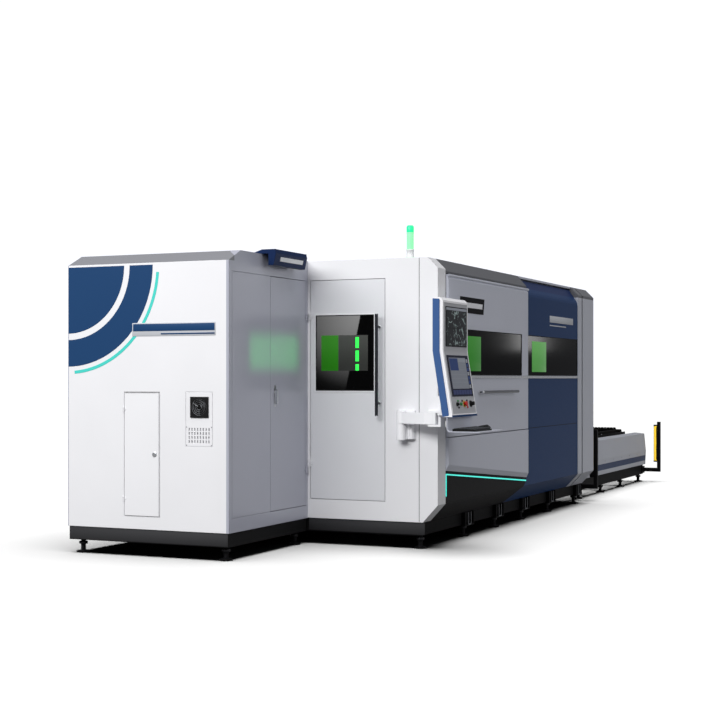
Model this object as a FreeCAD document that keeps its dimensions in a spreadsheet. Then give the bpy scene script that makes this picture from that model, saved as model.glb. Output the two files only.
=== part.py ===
import FreeCAD, Part
import math
import os
import re
import Sketcher

# A fibre laser cutting machine: an electrical cabinet, a walk-in cutting enclosure and a pallet
# exchange table in one line. X runs from the cabinet to the table, the operator stands at -Y and
# Z is up. The origin lies on the floor, midway along and across the machine.

SIZES = {
    # stations along the machine
    "cabinet_end": -4700,
    "wall_outer": -3413,
    "wall_inner": -3245,
    "door_start": -3240,
    "door_finish": -1160,
    "blue_finish": 590,
    "arch_finish": 730,
    "seal_finish": 775,
    "portal_finish": 1195,
    "table_start": 1200,
    "table_finish": 4550,
    "stop_finish": 4709,
    # stations across the machine
    "face_front": -1146,
    "face_rear": 1395,
    "centre_line": 124.5,
    "chamfer_in": 86,
    "skirt_in": 126,
    # heights
    "foot_rise": 104,
    "base_top": 210,
    "skirt_top": 349,
    "shoulder": 2199,
    "roof_top": 2284,
    "sheet": 20,
    # electrical cabinet
    "cabinet_right": -18,
    "cabinet_top": 2200,
    "cabinet_bevel": 176,
    "cabinet_wall": 30,
    "access_low": 303,
    "access_high": 1236,
    "access_right": 570,
    "access_left": 886,
    "leaf_gap": 4,
    "lock_across": 617,
    "lock_height": 769,
    "fan_across": 227.5,
    "fan_height": 1125.5,
    "fan_frame": 153,
    "fan_bore": 67,
    "vent_right": 118,
    "vent_left": 347,
    "vent_low": 855,
    "side_start": -4059,
    "side_finish": -3445,
    "side_low": 310,
    "side_high": 2124,
    "lever_along": -3985,
    "lever_height": 1230,
    "sign_start": -4200,
    "sign_finish": -3670,
    # end wall and its door
    "entry_right": -701,
    "entry_left": -40,
    "entry_low": 363,
    "entry_high": 2128,
    "entry_leaf": 60,
    "glass_right": -604,
    "glass_left": -91,
    "glass_low": 1238,
    "glass_high": 1845,
    "bar_across": -652,
    "bar_low": 1040,
    "bar_high": 1845,
    "bar_stand": 62,
    "bar_radius": 13,
    "seam_across": -990,
    # sliding front door and the panels around it
    "door_front": -1166,
    "door_back": -1148,
    "door_low": 872,
    "door_high": 2162,
    "door_shoulder": 2126,
    "edge_bevel": 10,
    "band_low": 1363,
    "band_high": 1737,
    "band_start": -3060,
    "band_finish": -1360,
    "blue_face": -1140,
    "blue_shoulder": 2126,
    "blue_top": 2250,
    "blue_setback": 90,
    "lower_top": 868,
    "lip_left": 656,
    "lip_right": 464,
    "hem_left": 608,
    "hem_right": 424,
    "toe_height": 395,
    "toe_start": -1460,
    "handle_start": -2540,
    "handle_finish": -1600,
    "handle_height": 1222,
    "handle_radius": 12,
    "slope_foot": 2184,
    # operator console
    "console_start": -3725,
    "console_finish": -3180,
    "console_top": 1951,
    "console_bend": 1544,
    "console_foot": 1046,
    "console_face_y": -1307,
    "console_back_y": -1224,
    "console_kick": 79,
    "tilt_height": 1076,
    "arm_pivot_x": -3470,
    "arm_pivot_y": -862,
    "arm_tip_x": -3580,
    "arm_tip_y": -1172,
    "arm_low": 985,
    "arm_high": 1072,
    "tray_height": 938,
    "tray_front": -1600,
    # bed, gantry and pallets
    "beam_inset": 196,
    "beam_width": 220,
    "beam_top": 780,
    "gantry_start": -2900,
    "gantry_depth": 260,
    "pallet_front": -600,
    "pallet_rear": 849,
    "pallet_length": 3300,
    "pallet_start": 1320,
    "upper_track": 604,
    "level_gap": 240,
    "pallet_depth": 60,
    "wheel_radius": 30,
    # exchange table
    "cover_front": -940,
    "cover_rear": 1189,
    "cover_low": 226,
    "cover_high": 620,
    "curtain_across": -1110,
    "curtain_high": 775,
    # signal tower
    "tower_along": -3330,
    "tower_across": -880,
    "tower_top": 2546,
}

doc = FreeCAD.newDocument("LaserCuttingMachine")
sheet = doc.addObject("Spreadsheet::Sheet", "Sizes")
for row, (alias, value) in enumerate(SIZES.items(), start=1):
    sheet.set("A%d" % row, alias.replace("_", " "))
    sheet.set("B%d" % row, str(value))
    sheet.setAlias("B%d" % row, alias)
doc.recompute()

NODES = []
TURNS = {
    "X": FreeCAD.Rotation(FreeCAD.Vector(0, 1, 0), 90),
    "Y": FreeCAD.Rotation(FreeCAD.Vector(1, 0, 0), -90),
    "Z": FreeCAD.Rotation(),
}


def bound(text):
    """A formula in the sheet's words, written as the document reads it."""
    return re.sub(r"[A-Za-z_]\w*", lambda word: "Sizes." + word[0] if word[0] in SIZES else word[0], str(text))


def name_node(piece, label):
    """Give a finished sub-part the name of its file."""
    piece.Label = label
    NODES.append(piece)
    return piece


def block(name, along, across, height):
    """A box between low and high formulas on each axis."""
    piece = doc.addObject("Part::Box", name)
    for axis, size, (low, high) in zip("xyz", ("Length", "Width", "Height"), (along, across, height)):
        piece.setExpression(size, bound("(%s) - (%s)" % (high, low)))
        piece.setExpression("Placement.Base." + axis, bound(low))
    return piece


def rod(name, axis, start, length, radius):
    """A round bar that starts at a point and runs along an axis."""
    piece = doc.addObject("Part::Cylinder", name)
    piece.Placement = FreeCAD.Placement(FreeCAD.Vector(), TURNS[axis])
    piece.setExpression("Radius", bound(radius))
    piece.setExpression("Height", bound(length))
    for side, place in zip("xyz", start):
        piece.setExpression("Placement.Base." + side, bound(place))
    return piece


def many_sided(name, axis, start, length, radius, sides):
    """A bar with a regular outline, such as a turned part drawn with few faces."""
    piece = doc.addObject("Part::Prism", name)
    piece.Placement = FreeCAD.Placement(FreeCAD.Vector(), TURNS[axis])
    piece.Polygon = sides
    piece.setExpression("Circumradius", bound(radius))
    piece.setExpression("Height", bound(length))
    for side, place in zip("xyz", start):
        piece.setExpression("Placement.Base." + side, bound(place))
    return piece


def barrel_hinge(name, normal, surface, middle, low, radius):
    """One barrel hinge on a surface: its fixed pieces, its moving pieces and the moving knuckle's bore."""
    off = "%s - %s - 0.1" % (surface, radius)
    length = 60 * radius / 7
    fixed, moving, bores = [], [], []
    for number, group in enumerate((fixed, moving, fixed)):
        start = number * (length / 3 + 0.1)
        height = "%s + %.3f" % (low, start)
        top = "%s + %.3f" % (low, start + length / 3 - 0.2)
        centre = (off, middle) if normal == "X" else (middle, off)
        group.append(many_sided(name + "Knuckle", "Z", centre + (height,), "%.3f" % (length / 3 - 0.2), str(radius), 8))
        reach = 3.4 * radius if group is fixed else -3.4 * radius
        low_edge, high_edge = sorted((0.0, reach))
        across = ("%s + %.2f" % (middle, low_edge), "%s + %.2f" % (middle, high_edge))
        depth = ("%s - %s" % (surface, radius * 0.43), surface)
        spans = (depth, across) if normal == "X" else (across, depth)
        group.append(block(name + "Plate", spans[0], spans[1], (height, top)))
        if group is moving:
            bores.append(rod(name + "Bore", "Z", centre + (height + " - 1",), "%.3f" % (length / 3 + 2),
                             str(radius * 0.43 + 0.05)))
    fixed.append(many_sided(name + "Pin", "Z", centre + (low,), "%.3f" % length, str(radius * 0.43), 12))
    return fixed, moving, bores


def fuse(name, pieces):
    """Pieces welded into one."""
    joined = doc.addObject("Part::MultiFuse", name)
    joined.Shapes = pieces
    return joined


def hang(name, leaf, hinges, cuts):
    """A door leaf with the moving halves of its hinges."""
    moving = [piece for hinge in hinges for piece in hinge[1]]
    bores = [bore for hinge in hinges for bore in hinge[2]]
    return carve(name, fuse(name + "Leaf", [leaf] + moving), cuts + bores)


def gather(name, pieces):
    """Like pieces that stay separate solids."""
    group = doc.addObject("Part::Compound", name)
    group.Links = pieces
    return group


def carve(name, piece, tools):
    """A piece with material taken away."""
    result = doc.addObject("Part::Cut", name)
    result.Base = piece
    result.Tool = tools[0] if len(tools) == 1 else fuse(name + "Tools", tools)
    return result


def meet(name, first, second):
    """What two forms have in common."""
    result = doc.addObject("Part::Common", name)
    result.Base = first
    result.Tool = second
    return result


def draw_outline(sketch, points, spin=0.0):
    """Draw a closed outline whose corners are tied to the sheet."""
    count = len(points)
    first = sketch.GeometryCount
    for number in range(count):
        ends = []
        for corner in (number, number + 1):
            turn = 2 * math.pi * corner / count + spin
            ends.append(FreeCAD.Vector(100 * math.cos(turn), 100 * math.sin(turn), 0))
        sketch.addGeometry(Part.LineSegment(ends[0], ends[1]), False)
    for number in range(count):
        following = first + (number + 1) % count
        sketch.addConstraint(Sketcher.Constraint("Coincident", first + number, 2, following, 1))
    for number, corner in enumerate(points):
        for kind, place in zip(("DistanceX", "DistanceY"), corner):
            rule = Sketcher.Constraint(kind, -1, 1, first + number, 1, 10.0)
            index = sketch.addConstraint(rule)
            sketch.setExpression("Constraints[%d]" % index, bound(place))


def new_sketch(body, plane, offset):
    """A sketch on one of the body's own origin planes, moved along that plane's normal."""
    sketch = body.newObject("Sketcher::SketchObject", body.Name + "Sketch")
    role = plane + "_Plane"
    sketch.AttachmentSupport = [(part, "") for part in body.Origin.OriginFeatures if part.Role == role]
    sketch.MapMode = "FlatFace"
    sketch.setExpression("AttachmentOffset.Base.z", bound(offset))
    return sketch


def plate(name, plane, low, high, outline, holes=()):
    """A padded profile from low to high along the normal of its plane."""
    body = doc.addObject("PartDesign::Body", name)
    offset = "-(%s)" % high if plane == "XZ" else low
    sketch = new_sketch(body, plane, offset)
    draw_outline(sketch, outline)
    for hole in holes:
        draw_outline(sketch, hole, 0.5)
    pad = body.newObject("PartDesign::Pad", name + "Pad")
    pad.Profile = sketch
    pad.setExpression("Length", bound("(%s) - (%s)" % (high, low)))
    return body


def raised_panel(name, back, front, back_outline, front_outline):
    """A panel whose four edges slope from its back outline to a smaller front one."""
    body = doc.addObject("PartDesign::Body", name)
    sketches = []
    for place, outline in ((back, back_outline), (front, front_outline)):
        sketch = new_sketch(body, "XZ", "-(%s)" % place)
        draw_outline(sketch, outline)
        sketches.append(sketch)
    loft = body.newObject("PartDesign::AdditiveLoft", name + "Loft")
    loft.Profile = sketches[0]
    loft.Sections = [sketches[1]]
    loft.Ruled = True
    return body


def rectangle(left, right, low, high):
    """The four corners of an upright rectangle."""
    return [(left, low), (right, low), (right, high), (left, high)]


def frame_profile(inset="0"):
    """The enclosure's outline across the machine, drawn in by an inset."""
    front = "face_front + %s" % inset
    rear = "face_rear - %s" % inset
    top = "roof_top - %s" % inset
    low = "base_top + %s" % inset
    shoulder = "shoulder - %s * 0.41" % inset
    skirt = "skirt_top + %s * 0.48" % inset
    return [
        ("face_front + skirt_in + %s * 0.48" % inset, low),
        (front, skirt),
        (front, shoulder),
        ("face_front + chamfer_in + %s * 0.41" % inset, top),
        ("face_rear - chamfer_in - %s * 0.41" % inset, top),
        (rear, shoulder),
        (rear, skirt),
        ("face_rear - skirt_in - %s * 0.48" % inset, low),
    ]


def build_cabinet():
    """White electrical and laser cabinet with an access door, a fan and a service door."""
    profile = [
        ("cabinet_end", "base_top - 3"),
        ("wall_outer", "base_top - 3"),
        ("wall_outer", "roof_top"),
        ("cabinet_end + cabinet_bevel", "roof_top"),
        ("cabinet_end", "cabinet_top"),
    ]
    inside = [
        ("cabinet_end + cabinet_wall", "base_top - 3 + cabinet_wall"),
        ("wall_outer - cabinet_wall", "base_top - 3 + cabinet_wall"),
        ("wall_outer - cabinet_wall", "roof_top - cabinet_wall"),
        ("cabinet_end + cabinet_bevel + 15", "roof_top - cabinet_wall"),
        ("cabinet_end + cabinet_wall", "cabinet_top - 15"),
    ]
    outer = plate("CabinetOuter", "XZ", "cabinet_right", "face_rear", profile)
    inner = plate("CabinetInner", "XZ", "cabinet_right + cabinet_wall", "face_rear - cabinet_wall", inside)
    through = ("cabinet_end - 5", "cabinet_end + cabinet_wall + 5")
    access = block("AccessCut", through, ("access_right", "access_left"), ("access_low", "access_high"))
    service = block(
        "ServiceCut",
        ("side_start", "side_finish"),
        ("cabinet_right - 5", "cabinet_right + cabinet_wall + 5"),
        ("side_low", "side_high"),
    )
    fan = many_sided("FanCut", "X", ("cabinet_end - 5", "fan_across", "fan_height"), "cabinet_wall + 10", "fan_bore + 1", 18)
    vents = []
    for column in range(8):
        across = "vent_right + 26 + %d * 24" % column
        for row in range(4):
            height = "vent_low + 6 + %d * 30" % row
            vents.append(block("Vent", through, (across, across + " + 9"), (height, height + " + 21")))
    seam = [
        block("PanelSeam", ("cabinet_end - 5", "cabinet_end + 3"), across, height)
        for across, height in (
            (("vent_right", "vent_right + 3"), ("834", "1238")),
            (("vent_left - 3", "vent_left"), ("834", "1238")),
            (("vent_right", "vent_left"), ("834", "837")),
            (("vent_right", "vent_left"), ("1235", "1238")),
        )
    ]
    rim = ("cabinet_right - 5", "cabinet_right + 3")
    seam += [
        block("PanelSeam", ("cabinet_end + 45", "side_start + 2"), rim, ("side_high - 4", "side_high")),
        block("PanelSeam", ("cabinet_end + 45", "side_start + 2"), rim, ("side_low", "side_low + 4")),
        block("PanelSeam", ("cabinet_end + 45", "cabinet_end + 49"), rim, ("side_low", "side_high")),
    ]
    shell = carve("CabinetWalls", outer, [inner, access, service, fan] + vents + seam)
    access_hinges = [barrel_hinge("AccessHinge", "X", "cabinet_end", "(access_left - 2)", height, 4.4)
                     for height in ("access_low + 110", "access_high - 150")]
    side_hinges = [barrel_hinge("SideHinge", "Y", "cabinet_right", "(side_finish - 2)", height, 7)
                   for height in ("side_low + 260", "side_high - 320")]
    fixed = [piece for hinge in access_hinges + side_hinges for piece in hinge[0]]
    name_node(fuse("CabinetShell", [shell] + fixed), "cabinet_shell")

    plinth = block("Plinth", ("cabinet_end + 8", "wall_outer - 12"), ("cabinet_right + 8", "face_rear - 8"),
                   ("foot_rise", "base_top - 3"))
    hollow = block("PlinthHollow", ("cabinet_end + 68", "wall_outer - 72"), ("cabinet_right + 68", "face_rear - 68"),
                   ("foot_rise - 5", "base_top + 2"))
    name_node(carve("CabinetBase", plinth, [hollow]), "cabinet_base")

    leaf = block("AccessLeaf", ("cabinet_end", "cabinet_end + 22"), ("access_right + leaf_gap", "access_left - leaf_gap"),
                 ("access_low + leaf_gap", "access_high - leaf_gap"))
    bore = rod("LockBore", "X", ("cabinet_end - 5", "lock_across", "lock_height"), "40", "14.3")
    name_node(hang("AccessDoor", leaf, access_hinges, [bore]), "cabinet_door")

    barrel = many_sided("LockBarrel", "X", ("cabinet_end - 3", "lock_across", "lock_height"), "38", "14", 16)
    slot = block("LockSlot", ("cabinet_end - 5", "cabinet_end + 1"), ("lock_across - 2", "lock_across + 2"),
                 ("lock_height - 9", "lock_height + 9"))
    cam = block("LockCam", ("cabinet_end + 30.5", "cabinet_end + 35"), ("lock_across - 10", "lock_across + 10"),
                ("lock_height - 60", "lock_height + 10"))
    name_node(carve("Lock", fuse("LockBody", [barrel, cam]), [slot]), "cabinet_lock")

    side = block("ServiceLeaf", ("side_start + leaf_gap", "side_finish - leaf_gap"),
                 ("cabinet_right", "cabinet_right + 24"), ("side_low + leaf_gap", "side_high - leaf_gap"))
    spindle_bore = rod("SpindleBore", "Y", ("lever_along", "cabinet_right - 5", "lever_height"), "40", "9.3")
    name_node(hang("ServiceDoor", side, side_hinges, [spindle_bore]), "side_door")

    spindle = many_sided("Spindle", "Y", ("lever_along", "cabinet_right - 26", "lever_height"), "61", "9", 12)
    grip = block("LeverGrip", ("lever_along - 10", "lever_along + 10"), ("cabinet_right - 26", "cabinet_right - 10"),
                 ("lever_height - 92", "lever_height + 22"))
    tongue = block("LeverTongue", ("lever_along - 9", "lever_along + 9"), ("cabinet_right + 30.5", "cabinet_right + 35"),
                   ("lever_height - 12", "lever_height + 85"))
    name_node(fuse("Lever", [spindle, grip, tongue]), "side_lever")

    # square fan frame with its open grille of rings and spokes
    half = "fan_frame / 2"
    body = block("FanFrame", ("cabinet_end - 9", "cabinet_end + 38"), ("fan_across - " + half, "fan_across + " + half),
                 ("fan_height - " + half, "fan_height + " + half))
    trimmed = block("FanRearWide", ("cabinet_end", "cabinet_end + 45"), ("fan_across - 90", "fan_across + 90"),
                    ("fan_height - 90", "fan_height + 90"))
    duct = many_sided("FanSleeve", "X", ("cabinet_end - 1", "fan_across", "fan_height"), "39", "fan_bore", 18)
    front = carve("FanFront", body, [trimmed])
    tunnel = many_sided("FanTunnel", "X", ("cabinet_end - 12", "fan_across", "fan_height"), "60", "fan_bore - 5", 18)
    ring = carve("FanRing", fuse("FanBlank", [front, duct]), [tunnel])
    grille_depth = ("cabinet_end - 7", "cabinet_end - 4")
    bars = [
        block("FanBarAcross", grille_depth, ("fan_across - fan_bore + 3", "fan_across + fan_bore - 3"),
              ("fan_height - 1.5", "fan_height + 1.5")),
        block("FanBarUp", grille_depth, ("fan_across - 1.5", "fan_across + 1.5"),
              ("fan_height - fan_bore + 3", "fan_height + fan_bore - 3")),
    ]
    for radius in (24, 44):
        centre = ("cabinet_end - 7", "fan_across", "fan_height")
        wide = many_sided("FanWire", "X", centre, "3", radius + 1.5, 12)
        narrow = many_sided("FanWireCore", "X", ("cabinet_end - 8",) + centre[1:], "5", radius - 1.5, 12)
        bars.append(carve("FanWireRing", wide, [narrow]))
    spider = ("cabinet_end + 35", "cabinet_end + 38")
    bars += [
        block("SpiderAcross", spider, ("fan_across - fan_bore + 3", "fan_across + fan_bore - 3"),
              ("fan_height - 5", "fan_height + 5")),
        block("SpiderUp", spider, ("fan_across - 5", "fan_across + 5"),
              ("fan_height - fan_bore + 3", "fan_height + fan_bore - 3")),
        rod("FanShaft", "X", ("cabinet_end + 18", "fan_across", "fan_height"), "20", "4"),
    ]
    name_node(fuse("FanHousing", [ring] + bars), "fan_housing")

    hub = many_sided("FanHub", "X", ("cabinet_end + 8", "fan_across", "fan_height"), "26", "20", 12)
    blades = []
    for number in range(5):
        blade = doc.addObject("PartDesign::Body", "FanBlade%d" % number)
        sketch = new_sketch(blade, "YZ", "cabinet_end + 20")
        draw_outline(sketch, [("-7", "17"), ("7", "17"), ("14", "fan_bore - 9"), ("-12", "fan_bore - 9")])
        pad = blade.newObject("PartDesign::Pad", "FanBladePad%d" % number)
        pad.Profile = sketch
        pad.Length = 3
        blade.Placement = FreeCAD.Placement(FreeCAD.Vector(), FreeCAD.Rotation(FreeCAD.Vector(1, 0, 0), 72 * number))
        blade.setExpression("Placement.Base.y", bound("fan_across"))
        blade.setExpression("Placement.Base.z", bound("fan_height"))
        blades.append(blade)
    shaft_bore = rod("HubBore", "X", ("cabinet_end + 16", "fan_across", "fan_height"), "30", "4.05")
    name_node(carve("FanRotor", fuse("FanWheel", [hub] + blades), [shaft_bore]), "fan_rotor")

    # what the service door gives access to
    source = block("SourceBox", ("cabinet_end + 120", "side_start - 60"), ("cabinet_right + 160", "cabinet_right + 1000"),
                   ("base_top - 3 + cabinet_wall", "base_top + 700"))
    fins = [
        block("SourceGroove", ("cabinet_end + 150 + %d * 40" % fin, "cabinet_end + 165 + %d * 40" % fin),
              ("cabinet_right + 150", "cabinet_right + 172"), ("base_top + 160", "base_top + 600"))
        for fin in range(9)
    ]
    name_node(carve("LaserSource", source, fins), "laser_source")
    board = block("MountingBoard", ("side_start + 40", "wall_outer - 80"), ("face_rear - 400", "face_rear - 380"),
                  ("base_top - 3 + cabinet_wall", "1900"))
    rows = []
    for height in ("650", "1000", "1350", "1650"):
        for place in range(4):
            along = "side_start + 80 + %d * 120" % place
            rows.append(block("Module", (along, along + " + 96"), ("face_rear - 500", "face_rear - 400"),
                              (height, height + " + 180")))
    name_node(fuse("ControlBoard", [board] + rows), "mounting_plate")

    # plain sign box hooked over the service side's top edge
    cap = [("-133", "2316"), ("-141", "2284"), ("cabinet_right + 60", "roof_top"),
           ("cabinet_right + 60", "roof_top + 12"), ("-20", "2316")]
    hook = plate("SignCap", "YZ", "sign_start", "sign_finish", cap)
    face = [("-141", "2284"), ("-76", "2284"), ("-76", "2195"), ("-120", "2195")]
    name_node(fuse("SignBox", [hook, plate("SignFace", "YZ", "sign_start", "sign_finish", face)]), "sign_box")


def build_end_wall():
    """White wall beside the cabinet, with its hinged entry door and signal tower."""
    wall = plate("WallBlank", "YZ", "wall_outer", "wall_inner", frame_profile())
    cuts = [
        block("EntryCut", ("wall_outer - 5", "wall_inner + 5"), ("entry_right", "entry_left"),
              ("entry_low", "entry_high")),
        block("WallSeam", ("wall_outer - 5", "wall_outer + 4"), ("seam_across - 2", "seam_across + 2"),
              ("base_top - 5", "roof_top + 5")),
    ]
    hinges = [barrel_hinge("EntryHinge", "X", "wall_outer", "(entry_left - 2)", height, 7)
              for height in ("entry_low + 260", "entry_high - 320")]
    fixed = [piece for hinge in hinges for piece in hinge[0]]
    name_node(fuse("EndWall", [carve("WallPanel", wall, cuts)] + fixed), "end_wall")

    leaf = block("EntryLeaf", ("wall_outer", "wall_outer + entry_leaf"),
                 ("entry_right + leaf_gap", "entry_left - leaf_gap"),
                 ("entry_low + leaf_gap", "entry_high - leaf_gap"))
    light = block("EntryLight", ("wall_outer - 5", "wall_outer + entry_leaf + 5"), ("glass_right", "glass_left"),
                  ("glass_low", "glass_high"))
    name_node(hang("EntryDoor", leaf, hinges, [light]), "end_door")
    pane = block("EntryGlass", ("wall_outer + 2", "wall_outer + 14"), ("glass_right", "glass_left"),
                 ("glass_low", "glass_high"))
    name_node(pane, "end_door_window")
    stand = "wall_outer - bar_stand"
    grip = many_sided("EntryBar", "Z", (stand, "bar_across", "bar_low"), "bar_high - bar_low", "bar_radius", 16)
    posts = [
        many_sided("EntryPost", "X", (stand, "bar_across", height), "bar_stand", "9", 10)
        for height in ("bar_low + 102", "bar_high - 100")
    ]
    name_node(fuse("EntryHandle", [grip] + posts), "end_door_handle")

    # light tower: flange, grey stem, lens and cap on one centre line
    centre = ("tower_along", "tower_across")
    tower = [
        many_sided("TowerFlange", "Z", centre + ("roof_top",), "8", "42", 16),
        many_sided("TowerStem", "Z", centre + ("roof_top + 8",), "54", "25", 16),
        many_sided("TowerRing", "Z", centre + ("roof_top + 62",), "8", "29", 16),
        many_sided("TowerLens", "Z", centre + ("roof_top + 70",), "126", "27", 16),
        many_sided("TowerCollar", "Z", centre + ("roof_top + 196",), "6", "29", 16),
        many_sided("TowerUpper", "Z", centre + ("roof_top + 202",), "tower_top - roof_top - 212", "27", 16),
        many_sided("TowerCap", "Z", centre + ("tower_top - 10",), "10", "21", 16),
    ]
    name_node(fuse("SignalTower", tower), "signal_tower")


def build_front():
    """Sliding grey door, the panels around it and the fixed blue section."""
    lower_back = [("door_start", "hem_left"), ("door_finish", "hem_right"), ("door_finish", "lower_top"),
                  ("door_start", "lower_top")]
    lower_front = [("door_start + edge_bevel", "lip_left"), ("door_finish - 2", "lip_right"),
                   ("door_finish - 2", "lower_top - 2"), ("door_start + edge_bevel", "lower_top - 2")]
    skin = raised_panel("LowerSkin", "face_front", "door_front", lower_back, lower_front)
    core = plate("LowerCore", "XZ", "face_front", "face_front + 46", lower_back)
    name_node(fuse("LowerPanel", [skin, core]), "lower_front_panel")

    # dark folded skirt under the grey panels, cut off at a slant where the blue section begins
    fold = [
        ("face_front + 2 + skirt_in", "base_top"),
        ("face_front + 2", "skirt_top"),
        ("face_front + 2", "hem_left + 40"),
        ("face_front + 22", "hem_left + 40"),
        ("face_front + 22", "skirt_top + 8"),
        ("face_front + 40 + skirt_in", "base_top"),
    ]
    skirt = plate("SkirtFold", "YZ", "door_start", "door_finish", fold)
    skirt_face = [("door_start", "base_top"), ("toe_start", "base_top"), ("door_finish", "toe_height"),
                  ("door_finish", "hem_right - 1"), ("door_start", "hem_left - 1")]
    span = plate("SkirtSpan", "XZ", "face_front - 5", "face_front + 240", skirt_face)
    name_node(meet("KickPanel", skirt, span), "kick_panel")

    door_edge = rectangle("door_start", "door_finish", "door_low", "door_high")
    door_face = rectangle("door_start + edge_bevel", "door_finish - edge_bevel", "door_low + 2", "door_shoulder")
    slab = raised_panel("DoorSkin", "door_back", "door_front", door_edge, door_face)
    window = block("DoorLight", ("band_start", "band_finish"), ("door_front - 5", "door_back + 5"),
                   ("band_low", "band_high"))
    name_node(carve("FrontDoor", slab, [window]), "front_door")
    pane = block("DoorGlass", ("band_start", "band_finish"), ("door_front + 3", "door_back"),
                 ("band_low", "band_high"))
    name_node(pane, "front_door_window")
    stand = "door_front - 45"
    bar = many_sided("DoorBar", "X", ("handle_start", stand, "handle_height"), "handle_finish - handle_start",
                     "handle_radius", 16)
    posts = [
        many_sided("DoorPost", "Y", (along, stand, "handle_height"), "45", "8", 10)
        for along in ("handle_start + 40", "handle_finish - 40")
    ]
    name_node(fuse("DoorHandle", [bar] + posts), "front_door_handle")

    # hangers: bent strips over the blue shoulder to shoes that run in the rail under the roof
    strip = [
        ("door_back", "2060"),
        ("door_back + 4", "2060"),
        ("door_back + 4", "blue_shoulder + 4"),
        ("face_front + chamfer_in + 6", "blue_top + 4"),
        ("face_front + chamfer_in + 62", "blue_top + 4"),
        ("face_front + chamfer_in + 62", "blue_top + 8"),
        ("face_front + chamfer_in + 3", "blue_top + 8"),
        ("door_back", "blue_shoulder + 6"),
    ]
    hangers = []
    for number, along in enumerate(("door_start + 300", "door_finish - 400")):
        arm = plate("HangerArm%d" % number, "YZ", along, along + " + 60", strip)
        shoe = block("HangerShoe", (along + " - 40", along + " + 100"),
                     ("face_front + chamfer_in + 34", "face_front + chamfer_in + 62"),
                     ("blue_top - 22", "blue_top + 4"))
        hangers.append(fuse("Hanger%d" % number, [arm, shoe]))
    name_node(gather("DoorHangers", hangers), "door_hangers")

    rail = [
        ("face_front + chamfer_in + 26", "blue_top - 34"),
        ("face_front + chamfer_in + 70", "blue_top - 34"),
        ("face_front + chamfer_in + 70", "roof_top - sheet"),
        ("face_front + chamfer_in + 64", "roof_top - sheet"),
        ("face_front + chamfer_in + 64", "blue_top - 22"),
        ("face_front + chamfer_in + 32", "blue_top - 22"),
        ("face_front + chamfer_in + 32", "blue_top"),
        ("face_front + chamfer_in + 26", "blue_top"),
    ]
    name_node(plate("DoorRail", "YZ", "wall_inner", "blue_finish", rail), "door_rail")

    cover = [
        ("face_front", "slope_foot - 16"),
        ("face_front", "slope_foot"),
        ("face_front + chamfer_in", "roof_top"),
        ("face_front + chamfer_in", "roof_top - 8"),
        ("face_front + 6", "slope_foot - 2"),
        ("face_front + 6", "slope_foot - 16"),
    ]
    name_node(plate("RoofSlope", "YZ", "wall_inner", "door_finish", cover), "roof_slope")

    # blue section: skirt, face, rounded shoulder and set-back chamfer in one folded skin
    fold = [
        ("blue_face + skirt_in", "base_top"),
        ("blue_face", "skirt_top"),
        ("blue_face", "blue_shoulder - 30"),
        ("blue_face + 5", "blue_shoulder - 8"),
        ("blue_face + 14", "blue_shoulder + 12"),
        ("blue_face + blue_setback", "blue_top"),
        ("blue_face + blue_setback + 8", "blue_top - 18"),
        ("blue_face + 30", "blue_shoulder"),
        ("blue_face + 20", "blue_shoulder - 30"),
        ("blue_face + 20", "skirt_top + 8"),
        ("blue_face + 20 + skirt_in", "base_top"),
    ]
    skin = plate("BlueFold", "YZ", "toe_start", "blue_finish", fold)
    blue_face = [("toe_start", "base_top"), ("blue_finish", "base_top"), ("blue_finish", "blue_top"),
                 ("door_finish", "blue_top"), ("door_finish", "toe_height")]
    span = plate("BlueSpan", "XZ", "face_front - 5", "face_front + 240", blue_face)
    window = block("BlueLight", ("door_finish + 12", "blue_finish - 8"), ("face_front - 5", "face_front + 60"),
                   ("band_low", "band_high"))
    name_node(carve("BluePanel", meet("BlueSkin", skin, span), [window]), "blue_panel")
    pane = block("BlueGlass", ("door_finish + 12", "blue_finish - 8"), ("blue_face + 2", "blue_face + 14"),
                 ("band_low", "band_high"))
    name_node(pane, "blue_window")


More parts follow.
